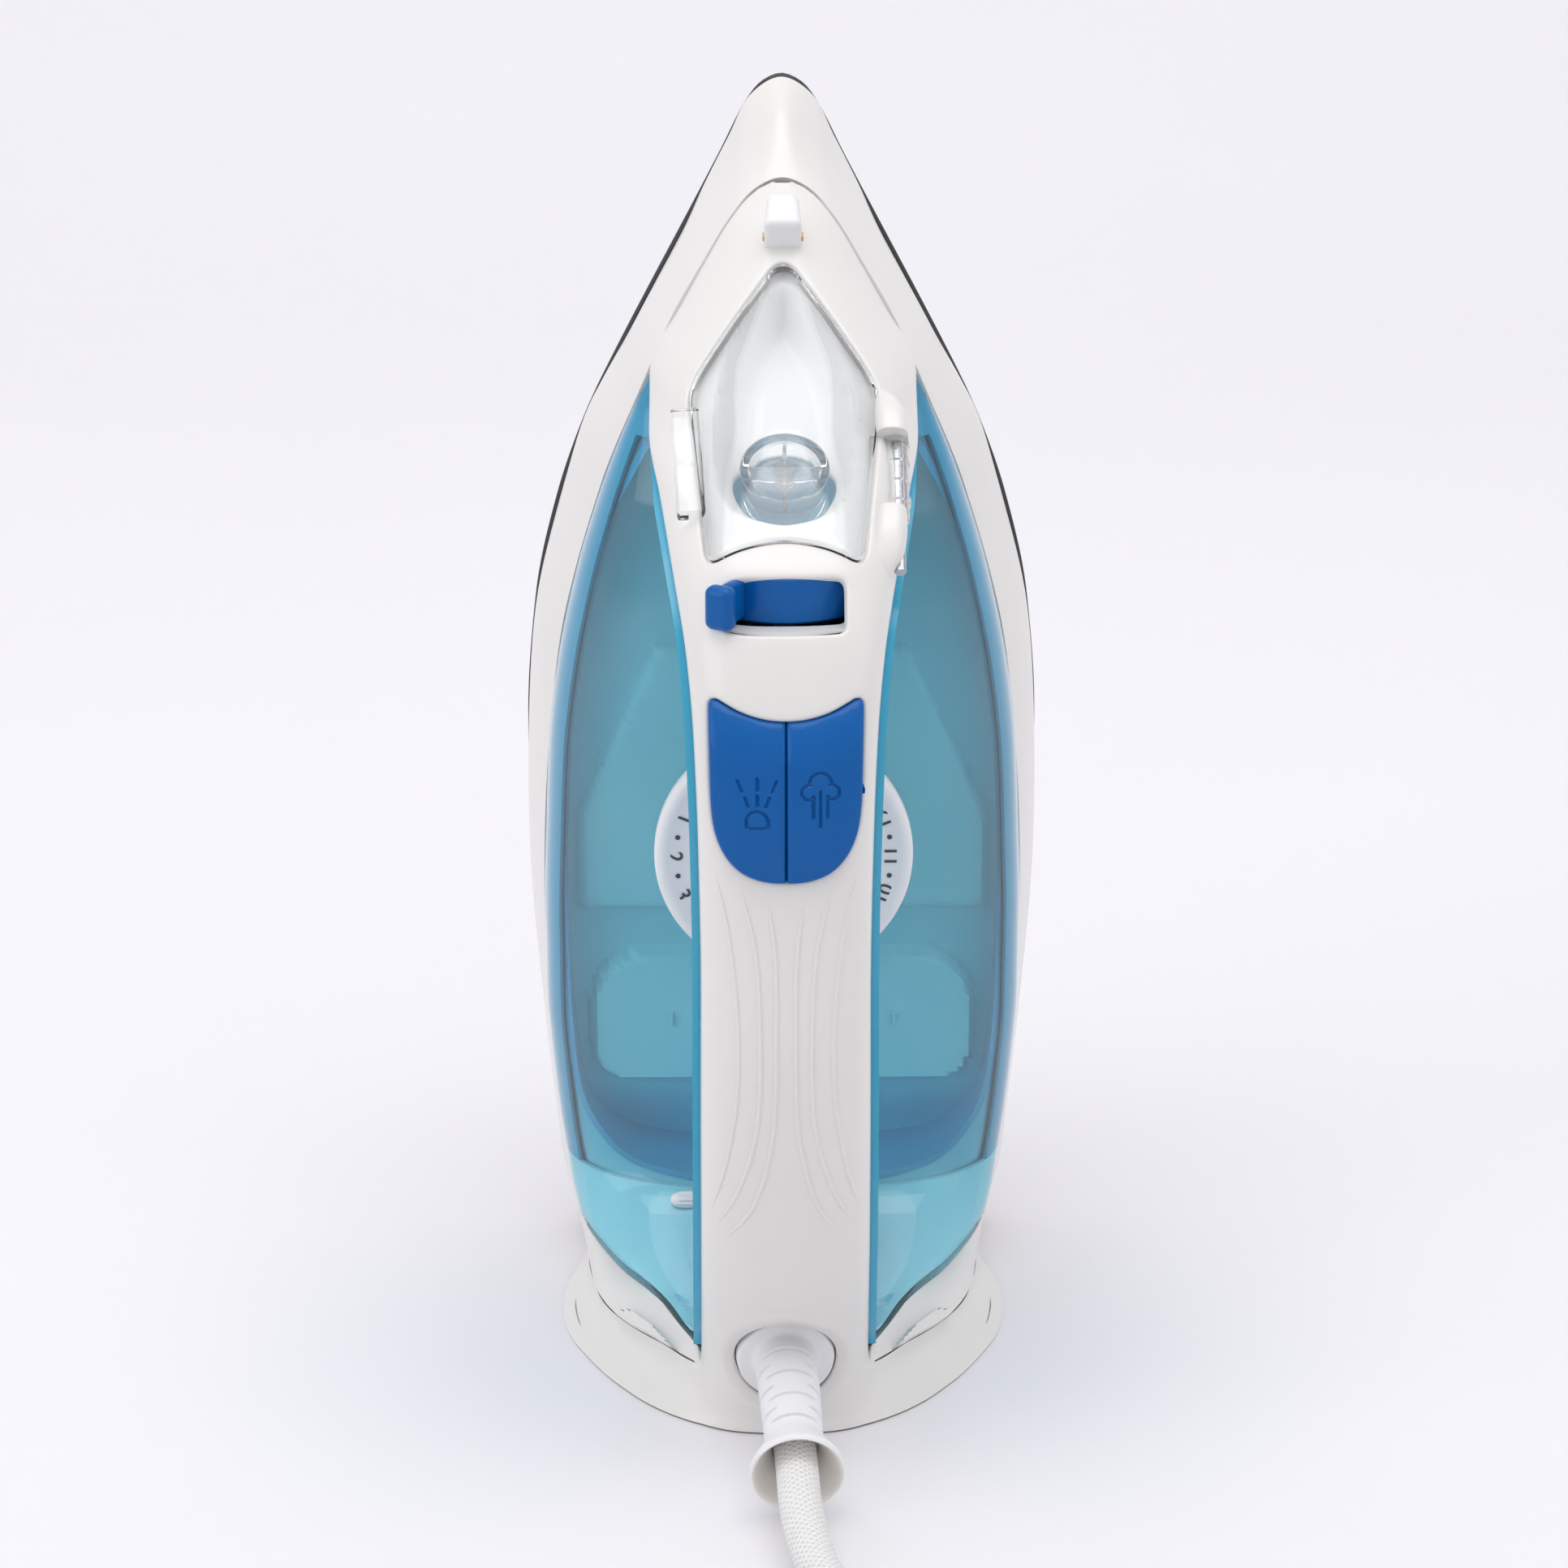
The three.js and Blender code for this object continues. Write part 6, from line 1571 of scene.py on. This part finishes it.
def build_buttons():
    """The two push buttons, which share one outline and dome."""
    loop = button_loop(0)
    for side, body, icon in ((-1, "spray", spray_icon(-6.1, 158.4)), (1, "steam", steam_icon(7.2, 158.6))):
        half = loop[loop[:, 0] * side > 0.5]
        order = np.argsort(np.arctan2(half[:, 1] - 165, half[:, 0] * side - 6))
        split = 0.1 * side
        corners = [*half[order].tolist(), (split, 179.45), (split, BUTTON_Z[0] + 0.05)]
        outline = rounded_loop(corners, 0.35, 0.45)

        def height(x, z):
            top_line = 179.4 + 4.4 * (np.minimum(np.abs(x), 15.4) / 15.4) ** 1.6
            dome = 3.0 * (1 - ((z - 163) / 34) ** 2)
            brow = 2.6 * (1 - np.clip((top_line - z) / 8.5, 0, 1)) ** 1.8
            split_fall = 0.25 * np.exp(-((x / 0.9) ** 2))
            mark = 0.55 * (1 - smoothstep(strokes_near(x, z, icon), 0.18, 0.4))
            return crown_arch(x * 0.9, z) + dome - brow - split_fall - mark

        point, flat = plane_surface(height)
        shape = thick_skin(point, flat, outline, [], 5.5, 0.62, 0.75, into=(0, 1, 0),
                           fine=lambda p: strokes_near(p[:, 0], p[:, 1], icon) < 1.0)
        add_piece(f"{body}_push", shape, "button_blue", body=body, replaces=[f"{body}_button"],
                  crease=60)


def build_dial():
    """The temperature dial: knurled rim, printed numbers and dots."""
    pivot = joint_place("dial_turn")
    top = SOLE_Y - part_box("temperature_dial")[0].y / MM
    radius = 29.6
    matrix = Matrix.Translation((0, SOLE_Y, pivot.z)) @ Matrix.Rotation(math.pi / 2, 4, "X")

    def knurls(angle, h):
        return 0.16 * np.abs(np.cos(90 * angle)) if top - 4.8 < h < top - 1.2 else 0

    outline = [(0, top - 5.8), (radius - 2, top - 5.8), (radius - 0.9, top - 5.4),
               (radius - 0.4, top - 4.9), (radius - 0.15, top - 4.5),
               (radius - 0.15, top - 1.5), (radius - 0.4, top - 1.0),
               (radius - 1.0, top - 0.35), (radius - 2.0, top - 0.05), (radius - 3.0, top - 0.15),
               (radius - 4.2, top - 0.5), (radius - 12, top - 0.55), (radius - 13, top - 0.2), (0, top)]
    add_piece("dial_disc", lathe(outline, 540, matrix, knurls), "trim_white", body="dial",
              replaces=["temperature_dial"], crease=40)
    marks = []
    upright = Matrix.Rotation(math.pi, 4, "Z")

    def on_rim(degrees, inset, drop):
        turned = matrix @ Matrix.Rotation(math.radians(degrees), 4, "Z")
        return turned @ Matrix.Translation((0, radius - inset, top - drop))

    for i in range(12):
        degrees = 68 + 22 * i if i < 6 else -68 - 22 * (11 - i)
        marks.append(numeral(str(i + 1), 5.0, on_rim(degrees, 3.1, 0.42) @ upright))
        dot = [(0, 0), (0.6, 0), (0.55, 0.12), (0, 0.14)]
        marks.append(lathe(dot, 20, on_rim(degrees + 11, 5, 0.45)))
    add_piece("dial_marks", merge(*marks), "trim_white", body="dial", crease=30, look=INK_GREY)


def numeral(text, size, matrix):
    """A number as thin printed geometry, in the dial's own frame."""
    curve = bpy.data.curves.new("numeral", "FONT")
    curve.body, curve.size, curve.extrude = text, size, 0.06
    curve.align_x = "CENTER"
    curve.offset = 0.06
    holder = bpy.data.objects.new("numeral", curve)
    bpy.context.scene.collection.objects.link(holder)
    bpy.context.view_layer.update()
    mesh = bpy.data.meshes.new_from_object(holder.evaluated_get(bpy.context.evaluated_depsgraph_get()))
    vertices = np.array([v.co for v in mesh.vertices])
    faces = [tuple(p.vertices) for p in mesh.polygons]
    bpy.data.objects.remove(holder)
    bpy.data.curves.remove(curve)
    bpy.data.meshes.remove(mesh)
    return moved(welded(vertices, faces), matrix)


def build_plug_of_tank():
    """The small ribbed plug low on the tank's shoulder, beside the handle's column."""
    h = float(tank_under(-23, 33.4, 0)) + 0.4
    matrix = Matrix.Translation((-19.5, SOLE_Y - h, 33.4)) @ Matrix.Rotation(-math.pi / 2, 4, "Y")

    def ribs(angle, s):
        return 0.16 * np.cos(11 * angle) if s < 5.4 else 0

    outline = [(0, 0), (1.9, 0), *[(1.9, s) for s in np.arange(0.4, 5.2, 0.4)], (1.8, 5.6), (1.4, 6.6),
               (0.8, 7.2), (0, 7.4)]
    add_piece("tank_stop", lathe(outline, 66, matrix, ribs), "trim_white", replaces=["tank_plug"],
              crease=40)


def build_heel_cover():
    """The ribbed plate under the heel, and a dark ring just inside the flange's edge at the floor."""
    loop = through(mirrored(HEEL_OUTLINE), 1.6, closed=True)
    centre = np.array([0, HEEL_MIDDLE])
    reach = np.linalg.norm(loop - centre, axis=1, keepdims=True)
    loop = centre + (loop - centre) * (1 - 3.2 / reach)
    holes = [circle(x, 60, 2.6, 24) for x in (-30, 30)]

    def point(p):
        ribs = 0.25 * smoothstep(np.cos(p[:, 1] * 2 * math.pi / 9), 0.6, 0.9) * (np.abs(p[:, 0]) < 18)
        return np.stack([p[:, 0], SOLE_Y - p[:, 1], 0.02 + ribs], -1)

    def flat(q):
        return np.stack([q[:, 0], SOLE_Y - q[:, 1]], -1)

    shape = thick_skin(point, flat, loop, holes, 2.1, 1.6, 0.5, into=(0, 0, 1))
    # A dark ring under the flange's edge, just above the floor.
    angle = np.linspace(-math.pi, math.pi, 200, endpoint=False)
    rings = []
    for inset, z in ((0.35, 0.48), (0.35, 0.03), (2.2, 0.03), (2.2, 0.48)):
        r = foot_radius(angle, np.full(200, 0.55)) - inset
        rings.append(place(r * np.sin(angle), z, HEEL_MIDDLE + r * np.cos(angle)))
    add_piece("heel_dark_ring", rings_closed(rings), "heel_grey", crease=40, look=HEEL_RING_DARK)
    add_piece("heel_plate", shape, "heel_grey", replaces=["heel_cover"], crease=50)


finish_cad_nodes()
build_stage()
build_cord(build_plug(), build_guard())
for build in (build_socket, build_handle, build_foot, build_liner, build_tank, build_plug_of_tank,
              build_skirt, build_sole, build_lid, build_hinge_bosses, build_bowl, build_nozzle,
              build_selector, build_buttons, build_dial, build_heel_cover):
    build()
